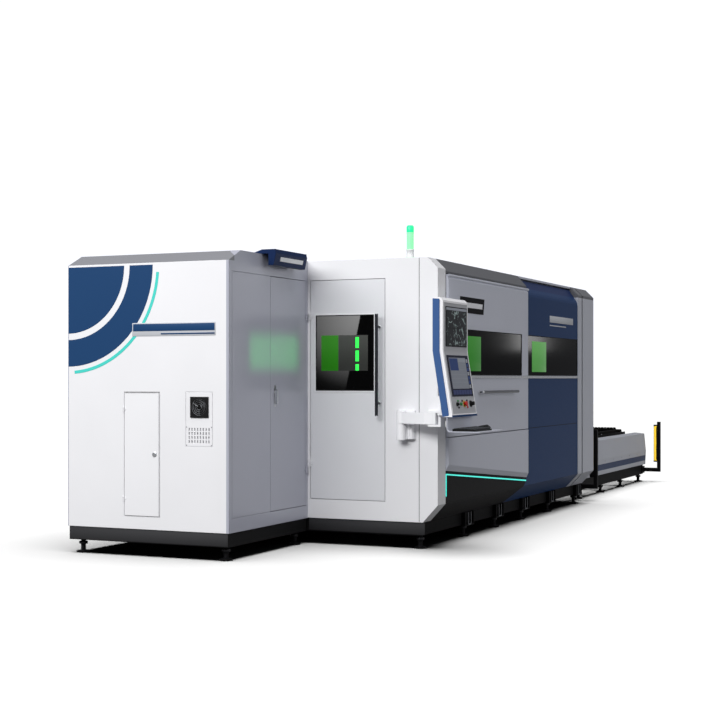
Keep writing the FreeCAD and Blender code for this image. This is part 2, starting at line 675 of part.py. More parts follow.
def build_shell():
    """Roof, rear wall and the three portals that end the enclosure towards the table."""
    roof = block("RoofPanel", ("wall_inner", "blue_finish"), ("face_front + chamfer_in", "face_rear - chamfer_in"),
                 ("roof_top - sheet", "roof_top"))
    name_node(roof, "roof_panel")
    rear = [
        ("face_rear - skirt_in", "base_top"),
        ("face_rear", "skirt_top"),
        ("face_rear", "shoulder"),
        ("face_rear - chamfer_in", "roof_top"),
        ("face_rear - chamfer_in", "roof_top - sheet"),
        ("face_rear - sheet", "shoulder - 8"),
        ("face_rear - sheet", "skirt_top + 8"),
        ("face_rear - sheet - skirt_in", "base_top"),
    ]
    wall = plate("RearSkin", "YZ", "wall_inner", "blue_finish", rear)
    seams = [
        block("RearSeam", (along, along + " + 4"), ("face_rear - 4", "face_rear + 5"), ("skirt_top", "shoulder"))
        for along in ("-2300", "-1340", "-380")
    ]
    name_node(carve("RearWall", wall, seams), "rear_wall")

    # fume duct along the rear, fed by the bed, with two round spigots for the extractor
    duct = block("DuctBody", ("-2900", "300"), ("face_rear", "face_rear + 125"), ("420", "720"))
    spigots = [many_sided("DuctSpigot", "Y", (along, "face_rear + 120", "570"), "85", "100", 16) for along in ("-2300", "-300")]
    bores = [many_sided("DuctBore", "Y", (along, "face_rear + 130", "570"), "90", "96", 16) for along in ("-2300", "-300")]
    name_node(carve("ExhaustDuct", fuse("DuctBlank", [duct] + spigots), bores), "exhaust_duct")

    arch = plate("ArchBlank", "YZ", "blue_finish", "arch_finish", frame_profile(), [frame_profile("70")])
    name_node(arch, "portal_frame")
    seal = plate("SealBlank", "YZ", "arch_finish", "seal_finish", frame_profile("12"), [frame_profile("70")])
    name_node(seal, "portal_seal")
    outer = plate("PortalBlank", "YZ", "seal_finish", "portal_finish", frame_profile())
    inner = plate("PortalHollow", "YZ", "seal_finish - 5", "portal_finish - sheet", frame_profile("60"))
    passage = block("PalletPassage", ("seal_finish", "portal_finish + 5"), ("pallet_front - 75", "pallet_rear + 75"),
                    ("300", "860"))
    name_node(carve("EndPortal", outer, [inner, passage]), "end_portal")


def build_base():
    """Black base frame, feet, bed, gantry rails and pallet tracks."""
    low, high = "foot_rise", "base_top"
    front = ("face_front + skirt_in + 20", "face_front + skirt_in + 120")
    rear = ("face_rear - skirt_in - 120", "face_rear - skirt_in - 20")
    rails = [block("BaseRail", ("wall_outer + 10", "portal_finish - 10"), across, (low, high)) for across in (front, rear)]
    ties = []
    for number in range(6):
        along = "wall_outer + 10 + %d * 880" % number
        ties.append(block("BaseTie", (along, along + " + 100"), (front[0], rear[1]), (low, high)))
    brackets = []
    for x in (-2380, -1580, -810, 50, 1030):
        for near, far in (("face_front + 112", "face_front + 150"), ("face_rear - 150", "face_rear - 112")):
            for along in ((x - 110, x - 98), (x + 98, x + 110)):
                brackets.append(block("BracketSide", along, (near, far), ("foot_rise - 12", "foot_rise + 106")))
            brackets.append(block("BracketFloor", (x - 110, x + 110), (near, far), ("foot_rise - 12", "foot_rise")))
    name_node(fuse("BaseFrame", rails + ties + brackets), "base_frame")

    feet = []
    places = [(x, y) for x in (-3340, -2380, -1580, -810, 50, 1030) for y in (-970, 1219)]
    places += [(x, y) for x in (-4620, -3520) for y in (50, 1310)]
    places += [(x, y) for x in (1650, 2600, 3550, 4500) for y in (-850, 1099)]
    for x, y in places:
        rise = "foot_rise" if x < 1200 else "foot_rise - 4"
        pad = many_sided("FootPad", "Z", (x, y, "0"), "14", "52", 8)
        stem = many_sided("FootStem", "Z", (x, y, "10"), rise + " - 10", "18", 6)
        feet.append(fuse("Foot", [pad, stem]))
    name_node(gather("LevelingFeet", feet), "leveling_feet")

    beam_front = ("face_front + beam_inset", "face_front + beam_inset + beam_width")
    beam_rear = ("face_rear - beam_inset - beam_width", "face_rear - beam_inset")
    long = ("wall_inner + 120", "blue_finish - 10")
    beams = [block("BedBeam", long, across, ("base_top", "beam_top")) for across in (beam_front, beam_rear)]
    cross = []
    for number in range(4):
        along = "wall_inner + 120 + %d * 1170" % number
        cross.append(block("BedTie", (along, along + " + 180"), (beam_front[0], beam_rear[1]), ("base_top", "330")))
    name_node(fuse("MachineBed", beams + cross), "machine_bed")

    guides = []
    for across in (beam_front, beam_rear):
        middle = "(%s) + beam_width / 2" % across[0]
        guides.append(block("GantryRail", long, (middle + " - 17", middle + " + 17"), ("beam_top", "beam_top + 30")))
    name_node(gather("GantryRails", guides), "gantry_rails")

    # two levels of angle track; the outer ones rest on the table, the inner ones on the bed
    tracks = []
    for level in ("0", "level_gap"):
        floor = "upper_track - %s" % level
        for near, far in (("pallet_front - 60", "pallet_front - 4"), ("pallet_rear + 4", "pallet_rear + 60")):
            tracks.append(block("TrackFloor", ("-2200", "table_finish"), (near, far), (floor + " - 8", floor)))
    for wall in (("pallet_front - 68", "pallet_front - 60"), ("pallet_rear + 60", "pallet_rear + 68")):
        tracks.append(block("TrackWall", ("-2200", "table_finish"), wall, ("330", "upper_track + 40")))
    name_node(fuse("PalletTracks", tracks), "pallet_tracks")


def build_table():
    """Exchange table: underframe, folded side covers, end stops and light curtain."""
    tubes = [
        block("TableTube", ("table_start + 10", "table_finish"), across, ("foot_rise - 4", "cover_low"))
        for across in (("cover_front + 40", "cover_front + 140"), ("cover_rear - 140", "cover_rear - 40"))
    ]
    for number in range(5):
        along = "table_start + 10 + %d * 810" % number
        tubes.append(block("TableTie", (along, along + " + 100"), ("cover_front + 40", "cover_rear - 40"),
                           ("foot_rise + 20", "cover_low")))
        for near, far in (("pallet_front - 72", "pallet_front - 12"), ("pallet_rear + 12", "pallet_rear + 72")):
            tubes.append(block("TablePost", (along, along + " + 100"), (near, far), ("cover_low - 5", "330")))
    for across in (("centre_line - 500", "centre_line - 420"), ("centre_line + 420", "centre_line + 500")):
        tubes.append(block("StopArm", ("table_finish - 20", "stop_finish"), across, ("foot_rise + 40", "cover_low - 20")))
    name_node(fuse("TableFrame", tubes), "table_frame")

    covers = []
    for side, edge, inward in (("Front", "cover_front", "+"), ("Rear", "cover_rear", "-")):
        section = [(edge + inward + depth, height) for depth, height in (
            ("40", "cover_low"), ("8", "cover_low"), ("0", "400"), ("22", "cover_high"),
            ("150", "cover_high + 12"), ("150", "cover_high + 8"), ("28", "cover_high - 6"),
            ("6", "400"), ("14", "cover_low + 6"), ("40", "cover_low + 6"))]
        covers.append(plate("Cover" + side, "YZ", "table_start", "table_finish", section))
    name_node(gather("TableCovers", covers), "table_side_covers")

    posts, units = [], []
    for along in ("table_start + 210", "table_finish - 24"):
        upright = block("CurtainPost", (along, along + " + 40"), ("curtain_across - 20", "curtain_across + 20"),
                        ("132", "curtain_high"))
        arm = block("CurtainArm", (along, along + " + 40"), ("curtain_across - 20", "cover_front + 40"), ("132", "180"))
        foot = block("CurtainFoot", (along + " - 40", along + " + 80"), ("cover_front + 28", "cover_front + 40"),
                     ("112", "200"))
        posts.append(fuse("CurtainStand", [upright, arm, foot]))
        unit = plate("CurtainUnit" + str(len(units)), "XY", "262", "curtain_high - 42", [
            (along + " + 4", "curtain_across + 20"), (along + " + 36", "curtain_across + 20"),
            (along + " + 36", "curtain_across + 58"), (along + " + 29", "curtain_across + 64"),
            (along + " + 11", "curtain_across + 64"), (along + " + 4", "curtain_across + 58")])
        units.append(unit)
    name_node(gather("CurtainPosts", posts), "curtain_posts")
    name_node(gather("CurtainUnits", units), "curtain_units")


def build_console():
    """Operator console on a swivel arm: bent housing, two screens, controls and keyboard tray."""
    pivot = ("arm_pivot_x", "arm_pivot_y")
    bracket = [
        block("BracketBack", ("wall_outer - 12", "wall_outer"), ("arm_pivot_y - 96", "arm_pivot_y + 44"), ("856", "1088")),
        many_sided("BracketColumn", "Z", pivot + ("856",), "arm_low - 0.5 - 856", "38", 16),
        block("BracketWeb", ("arm_pivot_x", "wall_outer"), ("arm_pivot_y - 26", "arm_pivot_y + 26"), ("862", "arm_low - 10")),
        many_sided("BracketPin", "Z", pivot + ("arm_low - 22",), "arm_high - arm_low + 34", "14", 16),
        many_sided("BracketCap", "Z", pivot + ("arm_high + 0.5",), "12", "38", 16),
        block("BracketBlock", ("wall_outer - 34", "wall_outer"), ("arm_pivot_y - 92", "arm_pivot_y - 20"),
              ("862", "arm_low - 12")),
    ]
    for rib in range(3):
        bracket.append(many_sided("BracketRib", "Z", ("wall_outer - 34", "arm_pivot_y - 34 - %d * 22" % rib, "862"),
                                  "arm_low - 12 - 862", "10", 8))
    name_node(fuse("WallBracket", bracket), "wall_bracket")

    # arm from the pivot to the tip, bored for the bracket pin
    arm_outline = [
        ("arm_pivot_x + 30", "arm_pivot_y - 10"),
        ("arm_pivot_x - 34", "arm_pivot_y - 10"),
        ("arm_tip_x - 38", "arm_tip_y + 60"),
        ("arm_tip_x - 38", "arm_tip_y - 34"),
        ("arm_tip_x + 38", "arm_tip_y - 34"),
        ("arm_tip_x + 38", "arm_tip_y + 60"),
    ]
    blade = plate("ArmBlade", "XY", "arm_low", "arm_high", arm_outline)
    arm = fuse("ArmBody", [blade, many_sided("ArmEnd", "Z", pivot + ("arm_low",), "arm_high - arm_low", "40", 16)])
    bore = rod("ArmBore", "Z", ("arm_pivot_x", "arm_pivot_y", "arm_low - 5"), "arm_high - arm_low + 10", "14.05")
    tip_bore = rod("ArmTipBore", "Z", ("arm_tip_x", "arm_tip_y", "arm_low - 5"), "arm_high - arm_low + 10", "12.05")
    name_node(carve("ConsoleArm", arm, [bore, tip_bore]), "console_arm")

    # knuckle: turns on the arm's tip and carries the tilt pin
    knuckle = [
        many_sided("KnucklePin", "Z", ("arm_tip_x", "arm_tip_y", "arm_low - 16"), "arm_high - arm_low + 32", "12", 16),
        block("KnuckleFloor", ("arm_tip_x - 36", "arm_tip_x + 36"), ("arm_tip_y - 76", "arm_tip_y + 30"),
              ("arm_low - 18", "arm_low - 0.5")),
        block("KnuckleLid", ("arm_tip_x - 36", "arm_tip_x + 36"), ("arm_tip_y - 76", "arm_tip_y + 30"),
              ("arm_high + 0.5", "arm_high + 18")),
        block("KnuckleWeb", ("arm_tip_x - 36", "arm_tip_x + 36"), ("arm_tip_y - 76", "arm_tip_y - 56"),
              ("arm_low - 18", "arm_high + 60")),
        many_sided("TiltPin", "X", ("arm_tip_x - 60", "arm_tip_y - 76", "tilt_height"), "120", "10", 16),
        plate("KnuckleHorn", "YZ", "arm_tip_x - 22", "arm_tip_x + 22", [
            ("arm_tip_y + 30", "arm_high + 16"), ("arm_tip_y + 26", "arm_high + 44"), ("arm_tip_y - 40", "arm_high + 130"),
            ("arm_tip_y - 72", "arm_high + 130"), ("arm_tip_y - 72", "arm_high + 16")]),
    ]
    name_node(fuse("ConsoleKnuckle", knuckle), "console_knuckle")

    # housing bent outward below the upper screen, with a shallow recess for the face plate
    face, back = "console_face_y", "console_back_y"
    profile = [
        (face, "console_top - 24"), (face, "console_bend"), (face + " - console_kick", "console_foot"),
        (back + " - console_kick", "console_foot"), (back, "console_bend"), (back, "console_top"),
        (face + " + 24", "console_top"),
    ]
    housing = plate("ConsoleBody", "YZ", "console_start", "console_finish", profile)
    recess = face_band("ConsoleRecess", "-5", "8", "console_foot + 22", "console_top - 40",
                       "console_start + 26", "console_finish - 8")
    side_cut = [
        (face + " + 16", "console_top - 36"), (face + " + 16", "console_bend"),
        (face + " + 16 - console_kick * 0.96", "console_foot + 18"),
        (back + " - 6 - console_kick * 0.96", "console_foot + 18"), (back + " - 6", "console_bend"),
        (back + " - 6", "console_top - 14"), (face + " + 30", "console_top - 14"),
    ]
    near_side = plate("ConsoleNear", "YZ", "console_start - 5", "console_start + 6", side_cut)
    far_side = plate("ConsoleFar", "YZ", "console_finish - 6", "console_finish + 5", side_cut)
    body = carve("ConsoleHousing", housing, [recess, near_side, far_side])
    lugs = []
    for near, far in (("arm_tip_x - 58", "arm_tip_x - 37"), ("arm_tip_x + 37", "arm_tip_x + 58")):
        lugs.append(block("TiltLug", (near, far), ("arm_tip_y - 140", "arm_tip_y - 58"),
                          ("tilt_height - 20", "tilt_height + 20")))
    pin_bore = rod("TiltBore", "X", ("arm_tip_x - 70", "arm_tip_y - 76", "tilt_height"), "140", "10.05")
    wells = [control_disc(along, -24, radius, 30, 12)
             for along, radius in ((300, 9.6), (215, 8.6), (130, 6.6), (440, 6.6))]
    bored = carve("BoredHousing", body, [fuse("ShellWells", wells)])
    name_node(fuse("ConsoleShell", [bored, carve("TiltLugs", fuse("LugPair", lugs), [pin_bore])]), "console_shell")
    panel = face_band("FacePlate", "2", "8", "console_foot + 22", "console_top - 40",
                      "console_start + 26", "console_finish - 8")
    name_node(carve("ConsoleFace", panel, [fuse("FaceWells", wells)]), "console_face")
    screen = ("console_start + 62", "console_finish - 22")
    monitor = block("UpperMonitor", screen, (face + " - 1", face + " + 2"), ("1580", "1885"))
    name_node(monitor, "upper_monitor")
    name_node(face_band("TouchScreen", "-1", "2", "1200", "1514", *screen), "touch_screen")

    controls = (
        ("emergency_stop", 300, ((-12, 9, 28, 12), (14, 19, 11, 16))),
        ("start_button", 215, ((-12, 8, 18, 12), (5, 13, 9, 16))),
        ("selector_knob", 130, ((-12, 6, 14), (0.4, 15, 9.6, 16), (8, 12, 14, 10))),
        ("feed_knob", 440, ((-12, 6, 14), (0.4, 24, 7.6, 16), (6, 15, 26, 10))),
    )
    for label, along, steps in controls:
        pieces = [control_disc(along, *step) for step in steps]
        name_node(fuse("Control" + label.title().replace("_", ""), pieces), label)

    tray = [
        ("tray_front", "tray_height - 6"), ("-1358", "tray_height - 6"), ("-1343", "tray_height + 3"),
        ("-1337", "tray_height + 20"), ("-1337", "console_foot"), ("-1343", "console_foot"),
        ("-1343", "tray_height + 22"), ("-1348", "tray_height + 8"), ("-1360", "tray_height"),
        ("tray_front", "tray_height"),
    ]
    name_node(plate("KeyboardTray", "YZ", "console_start", "console_finish", tray), "keyboard_tray")
    keys = [("tray_front + 40", "tray_height"), ("tray_front + 225", "tray_height"),
            ("tray_front + 225", "tray_height + 20"), ("tray_front + 40", "tray_height + 12")]
    name_node(plate("Keyboard", "YZ", "console_start + 25", "console_start + 395", keys), "keyboard")
    back_line = [(0, 10), (0, 22), (22, 33), (52, 36), (82, 30), (106, 16), (114, 6), (114, 0), (0, 0)]
    arched = plate("MouseArch", "YZ", "console_finish - 135", "console_finish - 65",
                   [("tray_front + %d" % (73 + y), "tray_height + %d" % z) for y, z in back_line if (y, z) != (0, 10)])
    plan = [(-34, 22), (-24, 4), (0, 0), (24, 4), (34, 22), (36, 70), (27, 104), (0, 114), (-27, 104), (-36, 70)]
    rounded = plate("MousePlan", "XY", "tray_height", "tray_height + 40",
                    [("console_finish - %d" % (100 - x), "tray_front + %d" % (73 + y)) for x, y in plan])
    name_node(meet("Mouse", arched, rounded), "mouse")


def control_disc(along, rise, radius, length, sides=0):
    """A disc square to the console's lower face, starting a rise above it; round if it has no count of sides."""
    disc = doc.addObject("Part::Prism" if sides else "Part::Cylinder", "Control")
    disc.Placement = FreeCAD.Placement(FreeCAD.Vector(), NORMAL)
    disc.Height = length
    if sides:
        disc.Polygon = sides
        disc.Circumradius = radius
    else:
        disc.Radius = radius
    lean = "atan(console_kick / (console_bend - console_foot))"
    disc.setExpression("Placement.Base.x", bound("console_start + %d" % along))
    disc.setExpression("Placement.Base.y", bound(face_line("1140", "2") + " - %s * cos(%s)" % (rise, lean)))
    disc.setExpression("Placement.Base.z", bound("1140 + %s * sin(%s)" % (rise, lean)))
    return disc


def face_line(height, depth):
    """How far out the console's face plane lies at a height, plus a depth into the console."""
    lean = "console_kick * max(0; console_bend - (%s)) / (console_bend - console_foot)" % height
    return "console_face_y + (%s) - %s" % (depth, lean)


def face_band(name, outer, inner, low, high, near, far):
    """A plate that follows the console's bent face between two depths."""
    points = [(face_line(low, outer), low)]
    if low_is_below_bend(high):
        points += [(face_line(high, outer), high), (face_line(high, inner), high)]
    else:
        points += [(face_line("console_bend", outer), "console_bend"), (face_line(high, outer), high),
                   (face_line(high, inner), high), (face_line("console_bend", inner), "console_bend")]
    points.append((face_line(low, inner), low))
    return plate(name, "YZ", near, far, points)


def low_is_below_bend(height):
    """True for a band that ends below the bend of the console."""
    return height.isdigit() and int(height) < SIZES["console_bend"]


NORMAL = FreeCAD.Rotation(
    FreeCAD.Vector(1, 0, 0),
    90 - math.degrees(math.atan2(SIZES["console_kick"], SIZES["console_bend"] - SIZES["console_foot"])),
)


def build_gantry():
    """Gantry beam on two rails, head carriage on its face and cutting head with its nozzle."""
    middle_front = "face_front + beam_inset + beam_width / 2"
    middle_rear = "face_rear - beam_inset - beam_width / 2"
    near, far = "gantry_start", "gantry_start + gantry_depth"
    legs, slots = [], []
    for middle in (middle_front, middle_rear):
        legs.append(block("GantryLeg", (near + " - 40", far + " + 40"), (middle + " - 75", middle + " + 75"),
                          ("beam_top + 8", "beam_top + 150")))
        slots.append(block("RailSlot", (near + " - 50", far + " + 50"), (middle + " - 17.4", middle + " + 17.4"),
                           ("beam_top", "beam_top + 30")))
    beam = block("GantryBeam", (near, far), (middle_front + " - 75", middle_rear + " + 75"),
                 ("beam_top + 140", "beam_top + 400"))
    guides = [
        block("CrossRail", (far, far + " + 22"), (middle_front + " + 40", middle_rear + " - 40"), (height, height + " + 28"))
        for height in ("beam_top + 175", "beam_top + 340")
    ]
    name_node(carve("Gantry", fuse("GantryBlank", legs + [beam] + guides), slots), "gantry_beam")

    middle = "pallet_front + 30"
    front = far + " + 22.5"
    carriage = block("CarriagePlate", (front, front + " + 40"), (middle + " - 150", middle + " + 150"),
                     ("beam_top + 150", "beam_top + 520"))
    cover = block("CarriageCover", (front + " + 30", front + " + 150"), (middle + " - 110", middle + " + 110"),
                  ("beam_top + 300", "beam_top + 520"))
    guide = block("CarriageGuide", (front + " + 35", front + " + 62"), (middle + " - 60", middle + " + 60"),
                  ("beam_top + 150", "beam_top + 310"))
    name_node(fuse("HeadCarriage", [carriage, cover, guide]), "head_carriage")

    axis = (front + " + 115", middle)
    ram = block("HeadRam", (front + " + 62.5", front + " + 90"), (middle + " - 45", middle + " + 45"),
                ("beam_top + 60", "beam_top + 292"))
    body = many_sided("HeadBody", "Z", axis + ("beam_top + 90",), "190", "42", 16)
    tip = [
        many_sided("HeadTip", "Z", axis + ("beam_top + %d" % low,), str(length), str(radius), 12)
        for low, length, radius in ((60, 30, 30), (44, 16, 22), (33, 11, 13), (24, 9, 6))
    ]
    name_node(fuse("CuttingHead", [ram, body] + tip), "cutting_head")


def build_pallet(label, start, floor):
    """A pallet: side rails, cross bars, wheels on both sides and upright slats."""
    deck = floor + " + 6"
    finish = "%s + pallet_length" % start
    sides = [
        block(label + "Side", (start, finish), across, (deck, deck + " + pallet_depth"))
        for across in (("pallet_front", "pallet_front + 40"), ("pallet_rear - 40", "pallet_rear"))
    ]
    ends = [
        block(label + "End", along, ("pallet_front", "pallet_rear"), (deck, deck + " + pallet_depth"))
        for along in ((start, start + " + 40"), (finish + " - 40", finish))
    ]
    wheels = []
    for number in range(4):
        along = "%s + 150 + %d * 1000" % (start, number)
        for across in ("pallet_front - 38", "pallet_rear"):
            wheels.append(many_sided(label + "Wheel", "Y", (along, across, floor + " + wheel_radius"), "38", "wheel_radius", 12))
    # slats on edge: one profile repeated along the pallet
    outline = rectangle("pallet_front + 40", "pallet_rear - 40", deck + " + 14", deck + " + 78")
    slats = plate(label + "Slat", "YZ", start + " + 120", start + " + 126", outline)
    row = slats.newObject("PartDesign::LinearPattern", label + "SlatRow")
    row.Originals = [slats.Group[1]]
    row.Direction = (slats.Group[0], ["N_Axis"])
    row.setExpression("Length", bound("pallet_length - 246"))
    row.Occurrences = 21
    slats.Tip = row
    return fuse(label, sides + ends + wheels + [slats])


build_cabinet()
build_end_wall()
build_front()
build_shell()
build_base()
build_table()
build_console()
build_gantry()
name_node(build_pallet("UpperPallet", "pallet_start", "upper_track"), "upper_pallet")
name_node(build_pallet("LowerPallet", "(pallet_start - 3470)", "(upper_track - level_gap)"), "lower_pallet")
doc.recompute()

faults = [item.Name for item in doc.Objects if {"Invalid", "Error"} & set(item.State)]
for node in NODES:
    if node.Shape.isNull() or not node.Shape.isValid():
        faults.append(node.Label)
if faults:
    raise RuntimeError("these did not build: " + ", ".join(faults))

os.makedirs("parts", exist_ok=True)
for node in NODES:
    node.Shape.exportStep("parts/%s.step" % node.Label)
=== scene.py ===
import math

import bmesh
import bpy
from bpy.props import FloatProperty, IntProperty, PointerProperty
from mathutils import Matrix, Quaternion, Vector


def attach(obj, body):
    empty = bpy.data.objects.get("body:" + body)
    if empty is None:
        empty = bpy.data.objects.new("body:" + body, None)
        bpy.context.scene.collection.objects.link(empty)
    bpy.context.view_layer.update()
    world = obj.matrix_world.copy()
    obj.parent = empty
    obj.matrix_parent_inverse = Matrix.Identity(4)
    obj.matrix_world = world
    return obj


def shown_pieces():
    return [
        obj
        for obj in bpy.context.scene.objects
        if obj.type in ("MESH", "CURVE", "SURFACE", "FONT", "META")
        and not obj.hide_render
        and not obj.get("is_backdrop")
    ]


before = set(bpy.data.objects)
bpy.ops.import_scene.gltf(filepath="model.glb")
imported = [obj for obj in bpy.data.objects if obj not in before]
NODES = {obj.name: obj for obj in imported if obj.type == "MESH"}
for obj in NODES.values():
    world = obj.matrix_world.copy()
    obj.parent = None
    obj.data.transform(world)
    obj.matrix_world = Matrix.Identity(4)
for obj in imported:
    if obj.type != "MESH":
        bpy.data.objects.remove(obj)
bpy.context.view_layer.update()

bl_info = {
    "name": "Sheet Laser Cutter Finish",
    "version": (1, 0, 0),
    "blender": (4, 5, 0),
    "location": "3D View > Sidebar > Cutter",
    "description": "Paints and details an enclosed sheet laser cutter around its solid frame",
    "category": "Object",
}

MM = 0.001
FINISH = {}


# ---------------------------------------------------------------- colours and nodes
def linear(code):
    """Turns an sRGB hex colour into linear red, green, blue and full alpha."""
    parts = [int(code[i:i + 2], 16) / 255 for i in (1, 3, 5)]
    return tuple(p / 12.92 if p <= 0.04045 else ((p + 0.055) / 1.055) ** 2.4 for p in parts) + (1.0,)


def node(tree, kind, settings=None, links=None):
    """Adds a node, fills its sockets or properties from settings, and links its inputs."""
    made = tree.nodes.new(kind)
    for key, value in (settings or {}).items():
        if isinstance(key, int) or key in made.inputs:
            made.inputs[key].default_value = value
        else:
            setattr(made, key, value)
    for key, source in (links or {}).items():
        tree.links.new(source, made.inputs[key])
    return made


def blank(name):
    """A new material: its tree, the place of a point on the machine in metres, and its output node."""
    material = bpy.data.materials.new(name)
    material.use_nodes = True
    tree = material.node_tree
    tree.nodes.clear()
    FINISH[name] = material
    return tree, node(tree, "ShaderNodeTexCoord").outputs["Object"], node(tree, "ShaderNodeOutputMaterial")


def mottled(tree, place, code, size_mm, amount):
    """A colour that drifts a little lighter and darker over patches of one real size."""
    patch = node(tree, "ShaderNodeTexNoise", {"Scale": 1000 / size_mm, "Detail": 3.0}, {"Vector": place})
    spread = node(tree, "ShaderNodeMapRange", {3: 1 - amount, 4: 1 + amount}, {0: patch.outputs["Fac"]})
    settings = {"data_type": "RGBA", "blend_type": "MULTIPLY", 0: 1.0, 6: linear(code)}
    return node(tree, "ShaderNodeMix", settings, {7: spread.outputs[0]}).outputs[2]


def worked(tree, out, colour, settings, grain, sheen, relief, links=None):
    """Joins a shader to the output, its roughness and its relief both drawn by one grain.

    Sheen is the least and greatest roughness, relief the strength and the depth in millimetres."""
    rough = node(tree, "ShaderNodeMapRange", {3: sheen[0], 4: sheen[1]}, {0: grain}).outputs[0]
    depth = {"Strength": relief[0], "Distance": relief[1] * MM}
    bump = node(tree, "ShaderNodeBump", depth, {"Height": grain, **(links or {})}).outputs[0]
    shader = node(tree, "ShaderNodeBsdfPrincipled", settings,
                  {"Base Color": colour, "Roughness": rough, "Normal": bump})
    tree.links.new(shader.outputs[0], out.inputs[0])


def painted(name, code, roughness=0.42, peel_mm=14, peel=0.05, tone=0.03, gloss=0.1, tint=None):
    """Paint on sheet metal: a thin film with orange peel, faint patches and softly rounded folds.

    The real peel is 2 to 3 mm across; it is drawn at peel_mm so that it shows from nine metres away.
    A tint is a function that paints a pattern into the film, a stripe or painted shade: it gets the tree, the
    place and the colour."""
    tree, place, out = blank(name)
    colour = mottled(tree, place, code, 420, tone)
    if tint:
        colour = tint(tree, place, colour)
    grain = node(tree, "ShaderNodeTexNoise", {"Scale": 1000 / peel_mm, "Detail": 4.0, "Roughness": 0.6},
                 {"Vector": place}).outputs["Fac"]
    fold = node(tree, "ShaderNodeBevel", {"samples": 4, "Radius": 5 * MM}).outputs[0]
    worked(tree, out, colour, {"IOR": 1.5, "Specular IOR Level": gloss}, grain,
           (roughness - 0.05, roughness + 0.07), (peel, 1), {"Normal": fold})


def metal(name, code, roughness=0.3, streak=(4, 4, 220), depth=0.12, tone=0.06):
    """Bare metal with long fine brush or grinding lines.

    They run along the smaller values of streak, which holds lines per metre / 10."""
    tree, place, out = blank(name)
    squeezed = node(tree, "ShaderNodeMapping", {"Scale": streak}, {"Vector": place}).outputs[0]
    settings = {"Scale": 10.0, "Detail": 3.0}
    lines = node(tree, "ShaderNodeTexNoise", settings, {"Vector": squeezed}).outputs["Fac"]
    worked(tree, out, mottled(tree, place, code, 160, tone), {"Metallic": 1.0}, lines,
           (roughness - 0.08, roughness + 0.1), (depth, 0.4))


def moulded(name, code, roughness=0.5, grain_mm=5, depth=0.15, gloss=0.12):
    """Moulded plastic or rubber: fine spark-eroded grain with slight wear to its gloss."""
    tree, place, out = blank(name)
    settings = {"Scale": 1000 / grain_mm, "Detail": 5.0}
    grain = node(tree, "ShaderNodeTexNoise", settings, {"Vector": place}).outputs["Fac"]
    worked(tree, out, mottled(tree, place, code, 90, 0.05), {"IOR": 1.5, "Specular IOR Level": gloss}, grain,
           (roughness - 0.06, roughness + 0.08), (depth, 0.5))


def glossy_pane(name, code, glow=0.0, roughness=0.06, gloss=0.5, upper=None):
    """A smooth pane: polished film or acrylic with faint waviness, glowing where glow is above zero: a
    screen's backlight, and painted light on the green and smoke panes.

    Where an upper colour is given, the pane fades into it over the heights of PANE_FADE, painted light that
    makes its top paler."""
    tree, place, out = blank(name)
    colour = mottled(tree, place, code, 300, 0.06)
    if upper:
        height = node(tree, "ShaderNodeSeparateXYZ", None, {0: place}).outputs[2]
        fade = {1: PANE_FADE[0], 2: PANE_FADE[1], "interpolation_type": "SMOOTHSTEP"}
        share = node(tree, "ShaderNodeMapRange", fade, {0: height}).outputs[0]
        two = {"data_type": "RGBA", 7: linear(upper)}
        colour = node(tree, "ShaderNodeMix", two, {0: share, 6: colour}).outputs[2]
    wave = node(tree, "ShaderNodeTexNoise", {"Scale": 3.0, "Detail": 1.0}, {"Vector": place}).outputs["Fac"]
    bump = node(tree, "ShaderNodeBump", {"Strength": 0.02, "Distance": 2 * MM}, {"Height": wave}).outputs[0]
    settings = {"IOR": 1.49, "Specular IOR Level": gloss, "Roughness": roughness, "Emission Strength": glow}
    shader = node(tree, "ShaderNodeBsdfPrincipled", settings,
                  {"Base Color": colour, "Emission Color": colour, "Normal": bump})
    tree.links.new(shader.outputs[0], out.inputs[0])


def light_strip(name, code, strength):
    """A diffuser over a row of light-emitting diodes: milky and slightly uneven."""
    tree, place, out = blank(name)
    grain = node(tree, "ShaderNodeTexNoise", {"Scale": 12.0, "Detail": 2.0}, {"Vector": place}).outputs["Fac"]
    power = node(tree, "ShaderNodeMapRange", {3: strength * 0.85, 4: strength * 1.1}, {0: grain}).outputs[0]
    colour = mottled(tree, place, code, 60, 0.05)
    shader = node(tree, "ShaderNodeBsdfPrincipled", {"Roughness": 0.35},
                  {"Base Color": colour, "Emission Color": colour, "Emission Strength": power})
    tree.links.new(shader.outputs[0], out.inputs[0])


def camera_picture(name):
    """What a work-area camera shows: dark, with the pale edges of sheet, sparks and frame."""
    tree, place, out = blank(name)
    settings = {"Scale": 17.0, "Detail": 3.0, "Distortion": 1.6}
    cloud = node(tree, "ShaderNodeTexNoise", settings, {"Vector": place})
    edge = {1: 0.55, 2: 0.68, "interpolation_type": "SMOOTHSTEP"}
    share = node(tree, "ShaderNodeMapRange", edge, {0: cloud.outputs["Fac"]}).outputs[0]
    settings = {"data_type": "RGBA", 6: linear("#05080a"), 7: linear("#6f7d7c")}
    colour = node(tree, "ShaderNodeMix", settings, {0: share}).outputs[2]
    settings = {"Roughness": 0.2, "Specular IOR Level": 0.1, "Emission Strength": 0.6}
    shader = node(tree, "ShaderNodeBsdfPrincipled", settings,
                  {"Base Color": colour, "Emission Color": colour})
    tree.links.new(shader.outputs[0], out.inputs[0])


# ---------------------------------------------------------------- mesh building, sizes in millimetres
def dress(mesh, faces, finish, bevel=0):
    """Gives new faces their finish number, and rounds their edges where there is a bevel."""
    for face in faces:
        face.material_index = finish
    if bevel:
        edges = list({e for f in faces for e in f.edges})
        bmesh.ops.bevel(mesh, geom=edges, offset=bevel * MM, segments=2, affect="EDGES", profile=0.6,
                        material=-1)


